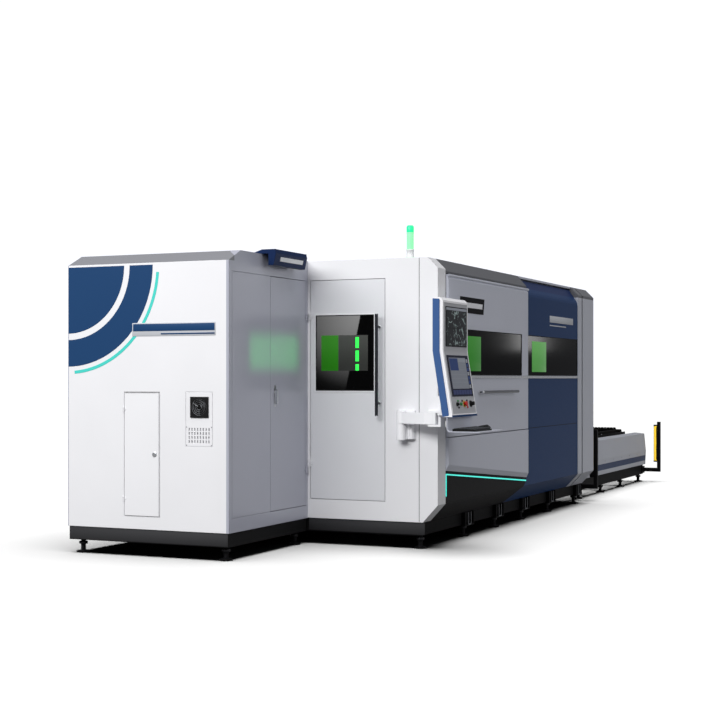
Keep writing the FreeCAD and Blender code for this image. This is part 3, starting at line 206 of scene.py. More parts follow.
def slab(mesh, low, high, finish=0, bevel=0.0):
    """Adds a box between two corners, its edges rounded by bevel."""
    low, high = Vector(low) * MM, Vector(high) * MM
    place = Matrix.Translation((low + high) / 2) @ Matrix.Diagonal((*(high - low), 1))
    made = bmesh.ops.create_cube(mesh, size=1, matrix=place)["verts"]
    dress(mesh, {f for v in made for f in v.link_faces}, finish, bevel)


def rim(mesh, axis, depth, low, high, width, finish=0):
    """Adds a flat frame round a rectangle; it lies outside for a width above nought, else inside."""
    inset = max(0, -width)
    (a, b), (c, d) = (low[0] + inset, low[1] + inset), (high[0] - inset, high[1] - inset)
    width = abs(width)
    parts = (((a - width, b - width), (c + width, b)), ((a - width, d), (c + width, d + width)),
             ((a - width, b), (a, d)), ((c, b), (c + width, d)))
    for first, last in parts:
        first, last = list(first), list(last)
        first.insert("XYZ".index(axis), depth[0])
        last.insert("XYZ".index(axis), depth[1])
        slab(mesh, first, last, finish)


def bar(mesh, start, end, radius, finish=0, sides=24):
    """Adds a round bar between two points."""
    start, end = Vector(start) * MM, Vector(end) * MM
    run = end - start
    place = Matrix.Translation((start + end) / 2) @ run.to_track_quat("Z", "Y").to_matrix().to_4x4()
    made = bmesh.ops.create_cone(mesh, cap_ends=True, segments=sides, radius1=radius * MM,
                                 radius2=radius * MM, depth=run.length, matrix=place)["verts"]
    dress(mesh, {f for v in made for f in v.link_faces}, finish)


def form(mesh, outline, axis, low, high, finish=0):
    """Adds an outline pushed along an axis; its points name the other two axes in x, y, z order."""
    def corner(depth, point):
        values = list(point)
        values.insert("XYZ".index(axis), depth)
        return mesh.verts.new(Vector(values) * MM)
    first, last = ([corner(depth, point) for point in outline] for depth in (low, high))
    faces = [mesh.faces.new(first), mesh.faces.new(list(reversed(last)))]
    count = len(outline)
    for i in range(count):
        j = (i + 1) % count
        faces.append(mesh.faces.new((first[j], first[i], last[i], last[j])))
    bmesh.ops.recalc_face_normals(mesh, faces=faces)
    dress(mesh, faces, finish)


def turned(mesh, centre, axis, profile, finish=0, sides=32, hoop=False):
    """Adds a turned form about a centre: a ring for each distance along the axis and radius of the profile.

    The last ring of a hoop meets its first."""
    turn = Vector([float(letter == axis) for letter in "XYZ"]) if isinstance(axis, str) else axis
    spin = turn.normalized().to_track_quat("Z", "Y").to_matrix()
    rings = []
    for along, radius in profile:
        ring = []
        for i in range(sides):
            angle = 2 * math.pi * i / sides
            local = Vector((radius * math.cos(angle), radius * math.sin(angle), along))
            ring.append(mesh.verts.new((Vector(centre) + spin @ local) * MM))
        rings.append(ring)
    faces = [] if hoop else [mesh.faces.new(list(reversed(rings[0]))), mesh.faces.new(rings[-1])]
    for lower, upper in zip(rings, rings[1:] + rings[:1] if hoop else rings[1:]):
        for i in range(sides):
            j = (i + 1) % sides
            faces.append(mesh.faces.new((lower[i], lower[j], upper[j], upper[i])))
    dress(mesh, faces, finish)


def show(name, data, body):
    """Puts a mesh in the scene, riding on a body of the frame."""
    made = bpy.data.objects.new(name, data)
    bpy.context.scene.collection.objects.link(made)
    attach(made, body)


def piece(name, body, slot, finishes, *shapes):
    """Makes a piece of shapes, each a building function and its values, smooth but for its sharp edges."""
    mesh = bmesh.new()
    for build, *values in shapes:
        build(mesh, *values)
    for face in mesh.faces:
        face.smooth = True
    for edge in mesh.edges:
        edge.smooth = len(edge.link_faces) == 2 and edge.calc_face_angle(0) < math.radians(32)
    data = bpy.data.meshes.new(name)
    mesh.to_mesh(data)
    mesh.free()
    for finish in finishes:
        data.materials.append(FINISH[finish])
    show(name, data, body)


# ---------------------------------------------------------------- what repeats
INPUTS = {
    "Columns": "Int", "Rows": "Int", "Start": "Vector", "Column Step": "Vector", "Row Step": "Vector",
    "Size": "Vector", "Turn": "Vector", "Finish": "Material",
}


def small_form(tree, item):
    """The nodes of one small form, one unit in size: a block, a key cap, a bolt on its washer, or a tooth."""
    def moved(shape, **settings):
        return node(tree, "GeometryNodeTransform", settings, {"Geometry": shape}).outputs[0]

    def cylinder(sides, radius, depth):
        settings = {"Vertices": sides, "Radius": radius, "Depth": depth}
        return node(tree, "GeometryNodeMeshCylinder", settings).outputs[0]
    if item == "block":
        return node(tree, "GeometryNodeMeshCube").outputs[0]
    if item == "cap":
        settings = {"Vertices": 4, "Radius Top": 0.55, "Radius Bottom": 0.7071, "Depth": 1.0}
        return moved(node(tree, "GeometryNodeMeshCone", settings).outputs[0], Rotation=(0, 0, math.pi / 4))
    if item == "bolt":
        joined = node(tree, "GeometryNodeJoinGeometry")
        tree.links.new(moved(cylinder(16, 0.62, 0.3), Translation=(0, 0, 0.15)), joined.inputs[0])
        tree.links.new(moved(cylinder(6, 0.5, 0.8), Translation=(0, 0, 0.6)), joined.inputs[0])
        return joined.outputs[0]
    return moved(cylinder(3, 0.5774, 1.0), Rotation=(0, math.pi / 2, 0))


def repeat_tree(item):
    """A Geometry Nodes tree that sets one small form out in rows and columns."""
    tree = bpy.data.node_groups.new("Rows of " + item, "GeometryNodeTree")
    for label, kind in INPUTS.items():
        tree.interface.new_socket(name=label, in_out="INPUT", socket_type="NodeSocket" + kind)
    tree.interface.new_socket(name="Mesh", in_out="OUTPUT", socket_type="NodeSocketGeometry")
    given = tree.nodes.new("NodeGroupInput").outputs
    rows = node(tree, "GeometryNodeMeshLine", None,
                {"Count": given["Rows"], "Start Location": given["Start"], "Offset": given["Row Step"]})
    columns = node(tree, "GeometryNodeMeshLine", None,
                   {"Count": given["Columns"], "Offset": given["Column Step"]})
    grid = node(tree, "GeometryNodeInstanceOnPoints", None,
                {"Points": rows.outputs[0], "Instance": columns.outputs[0]})
    points = node(tree, "GeometryNodeRealizeInstances", None, {0: grid.outputs[0]})
    turn = node(tree, "FunctionNodeEulerToRotation", None, {0: given["Turn"]})
    placed = node(tree, "GeometryNodeInstanceOnPoints", None,
                  {"Points": points.outputs[0], "Instance": small_form(tree, item),
                   "Rotation": turn.outputs[0], "Scale": given["Size"]})
    whole = node(tree, "GeometryNodeRealizeInstances", None, {0: placed.outputs[0]})
    dressed = node(tree, "GeometryNodeSetMaterial", None,
                   {"Geometry": whole.outputs[0], "Material": given["Finish"]})
    out = tree.nodes.new("NodeGroupOutput")
    tree.links.new(dressed.outputs[0], out.inputs[0])
    return tree


def repeat(name, body, item, finish, counts, start, steps, size, turn=(0, 0, 0)):
    """Rows and columns of one small form as a plain mesh on a body; sizes in millimetres, turn in degrees."""
    tree = bpy.data.node_groups.get("Rows of " + item) or repeat_tree(item)
    host = bpy.data.objects.new(name + "_rows", bpy.data.meshes.new(name + "_rows"))
    bpy.context.scene.collection.objects.link(host)
    modifier = host.modifiers.new("Rows", "NODES")
    modifier.node_group = tree
    values = {"Columns": counts[0], "Rows": counts[1], "Turn": [math.radians(t) for t in turn],
              "Finish": FINISH[finish]}
    for label, value in (("Start", start), ("Column Step", steps[0]), ("Row Step", steps[1]), ("Size", size)):
        values[label] = list(Vector(value) * MM)
    for socket in tree.interface.items_tree:
        if socket.in_out == "INPUT":
            modifier[socket.identifier] = values[socket.name]
    data = bpy.data.meshes.new_from_object(host.evaluated_get(bpy.context.evaluated_depsgraph_get()))
    bpy.data.objects.remove(host)
    data.name = name
    show(name, data, body)


def bolts(name, counts, start, steps, head, turn=(0, 0, 0), body="machine"):
    """Rows and columns of zinc plated bolts; head is their width and height."""
    repeat(name, body, "bolt", "zinc plate", counts, start, steps, (head[0], head[0], head[1]), turn)


# ---------------------------------------------------------------- finishes
NODE_FINISH = {
    "cabinet white powder coat": "cabinet_shell",
    "white powder coat": "end_wall cabinet_door wall_bracket console_arm console_knuckle console_shell",
    "cabinet side painted shade": "side_door",
    "entry door painted shade": "end_door",
    "portal grey powder coat": "portal_frame end_portal",
    "light grey powder coat": "front_door lower_front_panel rear_wall roof_panel "
                              "exhaust_duct head_carriage keyboard_tray",
    "roof slope painted shade": "roof_slope",
    "navy powder coat": "blue_panel",
    "black powder coat": "cabinet_base curtain_posts kick_panel",
    "black chassis enamel": "base_frame table_frame pallet_tracks leveling_feet",
    "table grey powder coat": "table_side_covers",
    "machine enamel": "machine_bed gantry_beam",
    "device coat": "laser_source",
    "face plate coat": "console_face",
    "tinted acrylic": "blue_window front_door_window",
    "entry acrylic": "end_door_window",
    "display glass": "upper_monitor",
    "touch glass": "touch_screen",
    "brushed stainless": "door_rail cabinet_lock side_lever cutting_head",
    "dark anodised": "end_door_handle",
    "satin stainless": "front_door_handle",
    "zinc plate": "mounting_plate door_hangers",
    "ground steel": "gantry_rails",
    "burnt mill steel": "upper_pallet lower_pallet",
    "yellow powder coat": "curtain_units",
    "lamp lens": "signal_tower",
    "sign lacquer": "sign_box",
    "black ABS": "fan_housing fan_rotor keyboard mouse selector_knob feed_knob",
    "red ABS": "emergency_stop",
    "green ABS": "start_button",
    "seal rubber and seam shadow": "portal_seal",
}

# where a second colour starts and ends: heights in metres, with 9 for all that is above; the pane fade is
# painted light, the cover stripe is real paint, and the bevel and top bands are painted shade
PANE_FADE = (1.42, 1.68)
COVER_STRIPE = (0.275, 0.345)
SECTION_BEVEL = (2.172, 9)
CABINET_BEVEL = (2.12, 2.282)
CABINET_TOP = (2.201, 9)
CORNER_TOP = (2.2, 9)
# the same across the cabinet, and by its hip: across less along, which is 4.7 all along the near hip; these
# mark where the cabinet's painted shade lies
CABINET_INSIDE = (0.004, 1.388)
NEAR_OF_HIP = (-9, 4.7)
ON_HIP = (4.6, 4.8)
# painted shade: greys that stand for the shade on the cabinet's sides and on its roof and bevels
SIDE_SHADE, TOP_SHADE = "#b4b6c3", "#86878c"


def between(tree, value, low, high):
    """One where a value lies between two limits, else nought."""
    above = node(tree, "ShaderNodeMath", {"operation": "GREATER_THAN", 1: low}, {0: value}).outputs[0]
    below = node(tree, "ShaderNodeMath", {"operation": "LESS_THAN", 1: high}, {0: value}).outputs[0]
    return node(tree, "ShaderNodeMath", {"operation": "MULTIPLY"}, {0: above, 1: below}).outputs[0]


def layered(tree, colour, layers):
    """The colour under more layers, each of one colour and laid on where its share is one; they carry stripes
    and painted shade.
    """
    for share, code in layers:
        coat = {"data_type": "RGBA", 7: linear(code)}
        colour = node(tree, "ShaderNodeMix", coat, {0: share, 6: colour}).outputs[2]
    return colour


def stripe_and_shade_band(heights, code):
    """A tint that lays a second colour over the surface between two heights: the covers' real stripe, and
    painted shade on the sloping tops of the sections.
    """
    def tint(tree, place, colour):
        height = node(tree, "ShaderNodeSeparateXYZ", None, {0: place}).outputs[2]
        return layered(tree, colour, [(between(tree, height, *heights), code)])
    return tint


def cabinet_painted_shade(tree, place, colour):
    """Painted shade on the cabinet's white paint: its sides and near bevel are made pale grey, its roof and
    other bevels middle grey, where they are turned from the main lamp.
    """
    along, across, height = node(tree, "ShaderNodeSeparateXYZ", None, {0: place}).outputs
    inside = between(tree, across, *CABINET_INSIDE)
    sides = node(tree, "ShaderNodeMath", {"operation": "SUBTRACT", 0: 1.0}, {1: inside}).outputs[0]
    hip = node(tree, "ShaderNodeMath", {"operation": "SUBTRACT"}, {0: across, 1: along}).outputs[0]
    bevel, corner = (node(tree, "ShaderNodeMath", {"operation": "MULTIPLY"},
                          {0: between(tree, hip, *at), 1: between(tree, height, *heights)}).outputs[0]
                     for at, heights in ((NEAR_OF_HIP, CABINET_BEVEL), (ON_HIP, CORNER_TOP)))
    return layered(tree, colour, ((sides, SIDE_SHADE), (between(tree, height, *CABINET_TOP), TOP_SHADE), (bevel, SIDE_SHADE),
                                  (corner, TOP_SHADE)))


def make_finishes(settings):
    """Every finish on the machine, named for what the real surface is or for the painted light and shade it
    carries.
    """
    # polyester powder coat on folded sheet: faint orange peel, broad soft highlights
    painted("white powder coat", "#f3f3f6", 0.36)
    # painted shade: a darker copy of the white powder coat for the entry door, which stands in the cabinet's
    # shade
    painted("entry door painted shade", "#e7e8ec", 0.36)
    # painted shade: the cabinet's white turns grey on its sides, roof and bevels, and its side door takes the
    # sides' grey
    painted("cabinet white powder coat", "#f3f3f6", 0.2, peel=0.02, gloss=0.5, tint=cabinet_painted_shade)
    painted("cabinet side painted shade", SIDE_SHADE, 0.2, peel=0.02, gloss=0.5)
    painted("light grey powder coat", "#ced1dd", 0.36)
    # painted shade: the sloping tops of the portals and of the blue section are made darker
    painted("portal grey powder coat", "#c6c9d3", 0.36, tint=stripe_and_shade_band(SECTION_BEVEL, "#6b6c71"))
    # painted shade: the roof slope is made darker grey for the shade on its upward face
    painted("roof slope painted shade", "#67686c", 0.4, gloss=0.05)
    painted("navy powder coat", "#1f3b66", 0.34, gloss=0.03, tint=stripe_and_shade_band(SECTION_BEVEL, "#1d305c"))
    painted("side blue powder coat", "#446499", 0.35, gloss=0.05)
    painted("black powder coat", "#1b1b1c", 0.5, peel=0.1, gloss=0.04)
    # graphite: a painted shadow in the cabinet door's gap, and painted light on the plinth's end faces
    painted("graphite painted light and shade", "#3d3d3f", 0.5, peel=0.1, gloss=0.04)
    painted("table grey powder coat", "#c2c5ce", 0.38, tint=stripe_and_shade_band(COVER_STRIPE, "#152f58"))
    painted("yellow powder coat", "#f2c93a", 0.3)
    # wet enamel and lacquer on castings, welded frames and devices
    painted("black chassis enamel", "#141415", 0.5, peel=0.1, gloss=0.02)
    painted("machine enamel", "#7d8084", 0.45, peel=0.12)
    painted("device coat", "#3c4250", 0.4)
    painted("face plate coat", "#b9babf", 0.42)
    painted("sign lacquer", "#182a50", 0.3, gloss=0.05)
    # the scale that a laser leaves on hot rolled slats is dull and rough, so a paint's film stands for it
    painted("burnt mill steel", "#100f0e", 0.6, peel_mm=9, peel=0.3, tone=0.25, gloss=0.03)
    # cast acrylic and glass: near black behind, smooth, with little sheen
    glossy_pane("tinted acrylic", "#060606", roughness=0.1, gloss=0.008)
    glossy_pane("entry acrylic", "#060606", roughness=0.04, gloss=0.05)
    glossy_pane("display glass", "#0b0d11", roughness=0.12, gloss=0.05)
    glossy_pane("touch glass", "#171a34", roughness=0.12, gloss=0.05)
    # the panes glow with painted light that stands for lamps inside, and are paler towards the top as painted
    # light; the lit and pale greens are brighter copies of one green
    for name, code, glow, upper in (
            ("green", "#2f851d", 0.05, "#3f8f2f"), ("lit green", "#2d7525", 0.5, "#3a7d32"),
            ("pale green", "#4f9247", 0.5, "#61a058"), ("smoke", "#3b3c3a", 0.1, "#4d4f4c")):
        glossy_pane(name + " acrylic", code, glow=glow, gloss=0.02, upper=upper)
    # bare and plated metals: long fine lines from a belt, or an even fine grain
    metal("brushed stainless", "#c4c6c9", 0.28)
    metal("satin stainless", "#66686d", 0.35)
    metal("dark anodised", "#3b3d42", 0.3)
    metal("ground steel", "#b9bbbe", 0.2, streak=(2, 120, 2))
    metal("zinc plate", "#9b9da0", 0.42, streak=(30, 30, 30), depth=0.05)
    metal("black oxide", "#29292b", 0.45, streak=(40, 40, 40), depth=0.05)
    metal("nozzle copper", "#c27b52", 0.3, streak=(60, 60, 10))
    # moulded plastics and rubber
    moulded("black ABS", "#161617", 0.45)
    moulded("dark grey ABS", "#37393c", 0.45)
    moulded("white ABS", "#e9eaec", 0.4)
    moulded("red ABS", "#c4231c", 0.3, gloss=0.3)
    moulded("green ABS", "#1e7a3c", 0.3, gloss=0.3)
    # seal rubber: real seals and gaskets, and a painted shadow in the end wall's seam
    moulded("seal rubber and seam shadow", "#1c1c1d", 0.7, grain_mm=8)
    # light diffusers
    light_strip("lamp lens", "#84f0a0", 0.8)
    light_strip("lamp cap", "#17e884", 1.0)
    light_strip("cyan diffuser", "#3fd6c6", settings.strip_power)
    light_strip("green diffuser", "#2bea4a", settings.strip_power)
    # printed and cut vinyl film
    painted("black film", "#0b0b0c", 0.35, tone=0.02, gloss=0.02)
    for name, code, roughness in (("navy", "#21436d", 0.35), ("cyan", "#4fd8cc", 0.35),
                                  ("silver", "#c9ccd2", 0.3), ("white", "#f2f3f7", 0.3)):
        painted(name + " film", code, roughness, tone=0.02)
    # what the screens show
    for name, code, glow in (("navy", "#22335c", 0.45), ("pale", "#777b84", 0.25), ("grey", "#7b7f87", 0.4),
                             ("blue", "#26355c", 0.5), ("slate", "#2b3152", 0.5)):
        glossy_pane("screen " + name, code, glow=glow, roughness=0.15, gloss=0.05)
    camera_picture("camera picture")


class CutterSettings(bpy.types.PropertyGroup):
    """What a user would change on this machine."""
    film_radius: FloatProperty(name="Film radius",
                               description="Outer radius of the cabinet's quarter rings in mm",
                               default=816.0, min=200.0, max=820.0)
    strip_power: FloatProperty(name="Strip power", description="Brightness of the light strips",
                               default=1.1, min=0.0, max=10.0)
    key_columns: IntProperty(name="Key columns", description="Keys in one row of the keyboard",
                             default=15, min=6, max=24)
    card_power: FloatProperty(name="Lamp power", description="Watts of the studio's main lamp",
                              default=1600.0, min=0.0, max=20000.0)


class CUTTER_OT_finishes(bpy.types.Operator):
    """Paint the solid frame with its finishes, some of which carry painted light and shade"""
    bl_idname = "cutter.finishes"
    bl_label = "Paint the Frame"

    def execute(self, context):
        make_finishes(context.scene.cutter)
        for finish, names in NODE_FINISH.items():
            for name in names.split():
                slots = NODES[name].data.materials
                slots.clear()
                slots.append(FINISH[finish])
        bare = [name for name, solid in NODES.items() if not solid.data.materials]
        if bare:
            raise RuntimeError("no finish for " + ", ".join(bare))
        return {"FINISHED"}


# ---------------------------------------------------------------- the machine, sizes in millimetres
# along x: the faces of the cabinet's end, of the end wall and of its window
CABINET_FACE, WALL_FACE, ENTRY_GLASS = -4700, -3413, -3411
# along y: the faces of the sliding door and the blue section, the back of the light line, and the rear wall
DOOR_FACE, BLUE_FACE, LIGHT_BACK, REAR_FACE = -1166, -1139, -1143, 1395
# how far the cabinet's film stands out, and how many sides small and large round parts have
FILM = 0.8
FOOT_SIDES, PLATE_SIDES = 20, 28
# which way a bolt's head points, as a turn in degrees
TO_CABINET, TO_TABLE, TO_REAR, TO_FRONT = (0, -90, 0), (0, 90, 0), (-90, 0, 0), (90, 0, 0)
PANEL_BOLT = (11, 4)


def ring_sector(centre, inner, outer, start, finish, count=28):
    """The outline of a slice of a ring in degrees; an inner radius of nought gives a slice of a disc."""
    def at(radius, share):
        angle = math.radians(start + (finish - start) * share)
        return centre[0] + radius * math.cos(angle), centre[1] + radius * math.sin(angle)
    points = [at(outer, i / count) for i in range(count + 1)]
    if inner:
        return points + [at(inner, 1 - i / count) for i in range(count + 1)]
    return points + [tuple(centre)]


class CUTTER_OT_cabinet(bpy.types.Operator):
    """Painted shadow line round the door, film, plates, screws, fan guard, plinth plates of painted light,
    lock plates and sign face on the cabinet
    """
    bl_idname = "cutter.cabinet"
    bl_label = "Cabinet Details"

    def execute(self, context):
        face = CABINET_FACE
        film_corner = (1391, 2186)
        outer = context.scene.cutter.film_radius
        # the edge line, a painted shadow for the gap round the door, lies level with the hinge knuckles, 9 mm
        # before the door
        edges = (((574, 307), (575.5, 1232)), ((575.5, 307), (876, 308.5)), ((575.5, 1230.5), (876, 1232)))
        piece("cabinet_door_gap_shadow", "cabinet_door", "seal_rubber", ["graphite painted light and shade"],
              *[(slab, (face - 9, *low), (face - 8.9, *high)) for low, high in edges])
        # each ring's inner and outer share of the radius, its first and last angle, and its film
        rings = ((0, 0.62, 180, 270, 0), (0.68, 0.93, 180, 270, 0), (0.97, 1, 184, 266, 1))
        piece("cabinet_film", "machine", "white_paint", ["navy film", "cyan film"],
              *[(form, ring_sector(film_corner, outer * near, outer * far, first, last), "X", face - FILM,
                 face, film) for near, far, first, last, film in rings])
        piece("cabinet_plate", "machine", "steel", ["navy film", "silver film"],
              (slab, (face - 2, 92, 1652), (face, 812, 1752), 1, 0.8),
              (slab, (face - 3, 100, 1690), (face - 1, 804, 1744), 0, 0.5),
              (slab, (face - 3, 100, 1664), (face - 1, 560, 1674), 0, 0.3))
        bolts("vent_screws", (2, 2), (face - 0.4, 127, 845), ((0, 211, 0), (0, 0, 134)), (7, 2), TO_CABINET)

        fan, wire, guard = Vector((face - 9, 227.5, 1125.5)), 1.2, []
        for hoop in (20, 34, 48, 60):
            section = [(0.2, hoop), (1.4, hoop + wire), (2.6, hoop), (1.4, hoop - wire)]
            guard.append((turned, fan, "X", section, 0, 40, True))
        for turn in (30, 150, 270):
            spoke = Vector((0, math.cos(math.radians(turn)), math.sin(math.radians(turn))))
            hub, end = (fan + Vector((2.6, 0, 0)) + spoke * reach for reach in (12, 66))
            guard.append((bar, hub, end, 1.3, 0, 8))
        piece("fan_guard_wires", "machine", "steel", ["zinc plate"], *guard)
        # painted light: lighter plates on the plinths' end faces, which face the main lamp
        piece("plinth_painted_light_plates", "machine", "black_paint", ["graphite painted light and shade"],
              (slab, (-4693.6, -6, 109), (-4692, 1383, 203), 0, 0.5),
              (slab, (-3404.5, -1034, 112), (-3403, -24, 206), 0, 0.5))

        piece("access_lock_plate", "cabinet_door", "steel", ["brushed stainless"],
              (turned, (face - 2.2, 617, 769), "X", [(0, 19), (0.8, 20), (2.2, 20)], 0, PLATE_SIDES))
        piece("lever_back_plate", "side_door", "steel", ["brushed stainless"],
              (slab, (-3999, -20, 1118), (-3971, -18, 1282), 0, 0.8))
        piece("lever_cap", "side_lever", "steel", ["brushed stainless"],
              (turned, (-3985, -45.5, 1230), "Y", [(0, 7), (1.5, 9), (3, 9)], 0, FOOT_SIDES))
        lip = [(-137.6, 2316.4), (-20, 2316.4), (-20, 2313), (-134, 2313)]
        piece("sign_face_bar", "machine", "sign_paint", ["white film", "sign lacquer"],
              (form, [(-137.0, 2261), (-129.3, 2228), (-127.8, 2228), (-135.5, 2261)], "X", -4110, -3730),
              *[(form, lip, "X", x - 2, x + 2, 1) for x in (-4197, -3673)])
        return {"FINISHED"}


def handle_feet(name, body, axes, roots, ends, foot_size, collar_size):
    """The round feet of a bar handle, which stand on the door, and the collars round its ends."""
    thick, radius = foot_size
    edge, belly = collar_size
    foot = [(-thick, 10), (2 - thick, radius), (0, radius)]
    collar = [(-3, edge), (0, belly), (3, edge)]
    piece(name, body, "steel", ["brushed stainless"],
          *[(turned, place, axes[0], foot, 0, FOOT_SIDES) for place in roots],
          *[(turned, place, axes[1], collar, 0, FOOT_SIDES) for place in ends])


class CUTTER_OT_entry(bpy.types.Operator):
    """Panes, lamp dashes, the wall seam's painted shadow, window trim and handle feet of the entry door"""
    bl_idname = "cutter.entry"
    bl_label = "Entry Door Details"

    def execute(self, context):
        glass, wall = ENTRY_GLASS, WALL_FACE
        sill, head = 1398, 1682
        window = ((-604, 1238), (-91, 1845))
        handle = (-3475, -652)
        piece("entry_panes", "end_door", "tinted_window", ["green acrylic", "smoke acrylic"],
              (slab, (glass - 1.4, -290, sill), (glass + 0.6, -140, head), 0, 0.5),
              (slab, (glass - 1.2, -550, sill), (glass + 0.6, -292, head), 1, 0.5))
        repeat("entry_dashes", "end_door", "block", "green diffuser", (1, 2),
               (glass - 1.6, -457, 1516), ((0, 1, 0), (0, 0, 107)), (1.6, 29, 86))
        piece("entry_dash_low", "end_door", "tinted_window", ["green diffuser"],
              (slab, (glass - 2.4, -471.5, 1400), (glass - 0.8, -442.5, 1450), 0, 0.5))
        # painted shadow: a dark strip that fills the end wall's seam groove
        piece("wall_seam_shadow", "machine", "seal_rubber", ["seal rubber and seam shadow"],
              (slab, (wall - 0.4, -991.7, 215), (wall + 3, -988.3, 2278)))
        piece("entry_window_trim", "end_door", "white_paint", ["white powder coat", "seal rubber and seam shadow"],
              (rim, "X", (wall - 2.5, glass), *window, -7, 1),
              (rim, "X", (wall - 1.6, wall), *window, 12))
        handle_feet("entry_handle_feet", "end_door", "XZ", [(wall, handle[1], z) for z in (1142, 1745)],
                    [(*handle, z) for z in (1041, 1845)], (6, 16), (12.4, 13.3))
        return {"FINISHED"}


def trim_bar(name, body, face, near, far):
    """The bar of folded stainless sheet that runs below the windows of a face."""
    outline = [(face - 4, 1337), (face - 8, 1342), (face - 8, 1356), (face - 4, 1361), (face, 1362.5),
               (face, 1335.5)]
    piece(name, body, "steel", ["brushed stainless"], (form, outline, "X", near, far))


class CUTTER_OT_front(bpy.types.Operator):
    """Panes, gaskets, trim, hem, seam, plates and handle feet of the sliding door and the blue section"""
    bl_idname = "cutter.front"
    bl_label = "Front Details"

    def execute(self, context):
        door, blue = DOOR_FACE, BLUE_FACE
        sill, head = 1397, 1684
        window_foot, window_top = 1363, 1737
        grip = 1222
        # painted light: the green panes glow, the blue section's paler than the door's
        piece("door_pane", "front_door", "tinted_window", ["lit green acrylic"],
              (slab, (-2910, door + 2, sill), (-2462, door + 4, head), 0, 0.4))
        piece("blue_pane", "machine", "tinted_window", ["pale green acrylic"],
              (slab, (-965, blue - 0.4, sill), (-515, blue + 1.4, head), 0, 0.4))
        piece("door_gasket", "front_door", "seal_rubber", ["seal rubber and seam shadow"],
              (rim, "Y", (door - 0.8, door + 3.4), (-3060, window_foot), (-1360, window_top), -6))
        piece("blue_gasket", "machine", "seal_rubber", ["seal rubber and seam shadow"],
              (rim, "Y", (blue - 1.8, blue + 1.4), (-1148, window_foot), (582, window_top), -6))

        trim_bar("door_trim_bar", "front_door", door, -3232, -1164)
        hem = [(door, 2140), (door - 4, 2143), (door - 7, 2149), (door - 7, 2155), (door - 4, 2160),
               (door, 2162)]
        piece("door_top_hem", "front_door", "white_paint", ["light grey powder coat"],
              (form, hem, "X", -3236, -1162))
        trim_bar("blue_trim_bar", "machine", blue, -1154, 586)
        piece("blue_seam", "machine", "seal_rubber", ["seal rubber and seam shadow"],
              (slab, (-1156, blue - 1.5, 872), (588, blue, 877), 0, 0.3))

        plate = [(-2970, 2000), (-2385, 2000), (-2410, 1870), (-2995, 1870)]
        band = [(-2915, 1956), (-2435, 1956), (-2443, 1914), (-2923, 1914)]
        piece("door_plate", "front_door", "black_paint", ["black film", "white film"],
              (form, plate, "Y", door - 2, door), (form, band, "Y", door - 3, door - 1, 1))
        piece("blue_plate", "machine", "steel", ["silver film"],
              (slab, (-400, blue - 3, 1880), (415, blue - 1, 1945), 0, 0.5),
              (slab, (-400, blue - 3, 1845), (160, blue - 1, 1856), 0, 0.3))
        handle_feet("door_handle_feet", "front_door", "YX", [(x, door, grip) for x in (-2500, -1640)],
                    [(x, door - 45, grip) for x in (-2539, -1601)], (5, 15), (11.5, 12.3))
        return {"FINISHED"}


class CUTTER_OT_lights(bpy.types.Operator):
    """The lamp tower's cap, foot and ribs, and the light line along the lower front in its channel"""
    bl_idname = "cutter.lights"
    bl_label = "Light Lines"

    def execute(self, context):
        tower = (-3330, -880, 0)
        cap = [(2490, 28.2), (2492, 28.6), (2534, 28.6), (2540, 25), (2545, 18)]
        foot = [(2284, 43), (2291, 43), (2293, 30), (2345, 28), (2347, 31), (2356, 31)]
        piece("tower_cap", "machine", "tower_lens", ["lamp cap", "white ABS", "lamp lens"],
              (turned, tower, "Z", cap), (turned, tower, "Z", foot, 1),
              *[(turned, tower, "Z", [(z, 27.2), (z + 2, 28.4), (z + 4, 27.2)], 2)
                for z in range(2368, 2482, 9)])

        back, line, channel = LIGHT_BACK, LIGHT_BACK - 6, LIGHT_BACK - 8
        piece("front_light_line", "machine", "tower_lens", ["cyan diffuser"],
              (form, [(-3238, 573), (-3238, 585), (-1178, 403), (-1178, 391)], "Y", line, back),
              (slab, (-3238, line, 405), (-3229, back, 573)))
        piece("light_channel", "machine", "dark_panel", ["black powder coat"],
              (form, [(-3240, 585), (-3240, 589), (-1176, 407), (-1176, 403)], "Y", channel, back),
              (form, [(-3229, 569), (-3229, 573), (-1176, 391), (-1176, 387)], "Y", channel, back),
              (slab, (-3229, channel, 405), (-3226, back, 571)))
        return {"FINISHED"}


# the console's front is upright above its bend, and below it leans out by one measure over the other
CONSOLE_FACE, CONSOLE_BEND = -1307, 1544
LEAN_OUT, LEAN_HEIGHT = 79, 498
LEAN = math.atan2(LEAN_OUT, LEAN_HEIGHT)
OUTWARD = Vector((0, -math.cos(LEAN), math.sin(LEAN)))
CONSOLE_SIDES = (-3725.6, -3180)
CONTROL_ROW = 1140


def face_y(height, proud=0.0):
    """How far out the console's front lies at a height; the part below the bend leans out."""
    return CONSOLE_FACE - proud - LEAN_OUT * max(0, CONSOLE_BEND - height) / LEAN_HEIGHT


def on_face(mesh, near, far, low, high, proud, depth, finish):
    """Adds a thin plate that lies on the console's front between two heights on one side of its bend."""
    form(mesh, [(face_y(low, proud), low), (face_y(high, proud), high), (face_y(high, proud - depth), high),
                (face_y(low, proud - depth), low)], "X", near, far, finish)


def on_screen(near, far, low, high, finish, proud=2.6):
    """A flat patch of picture, one millimetre deep, as a shape for a piece."""
    return on_face, near, far, low, high, proud, 1, finish


def control(x, z, profile, finish, sides):
    """A turned part set in the console's front, as a shape for a piece."""
    return turned, (x, face_y(z, -2), z), OUTWARD, profile, finish, sides


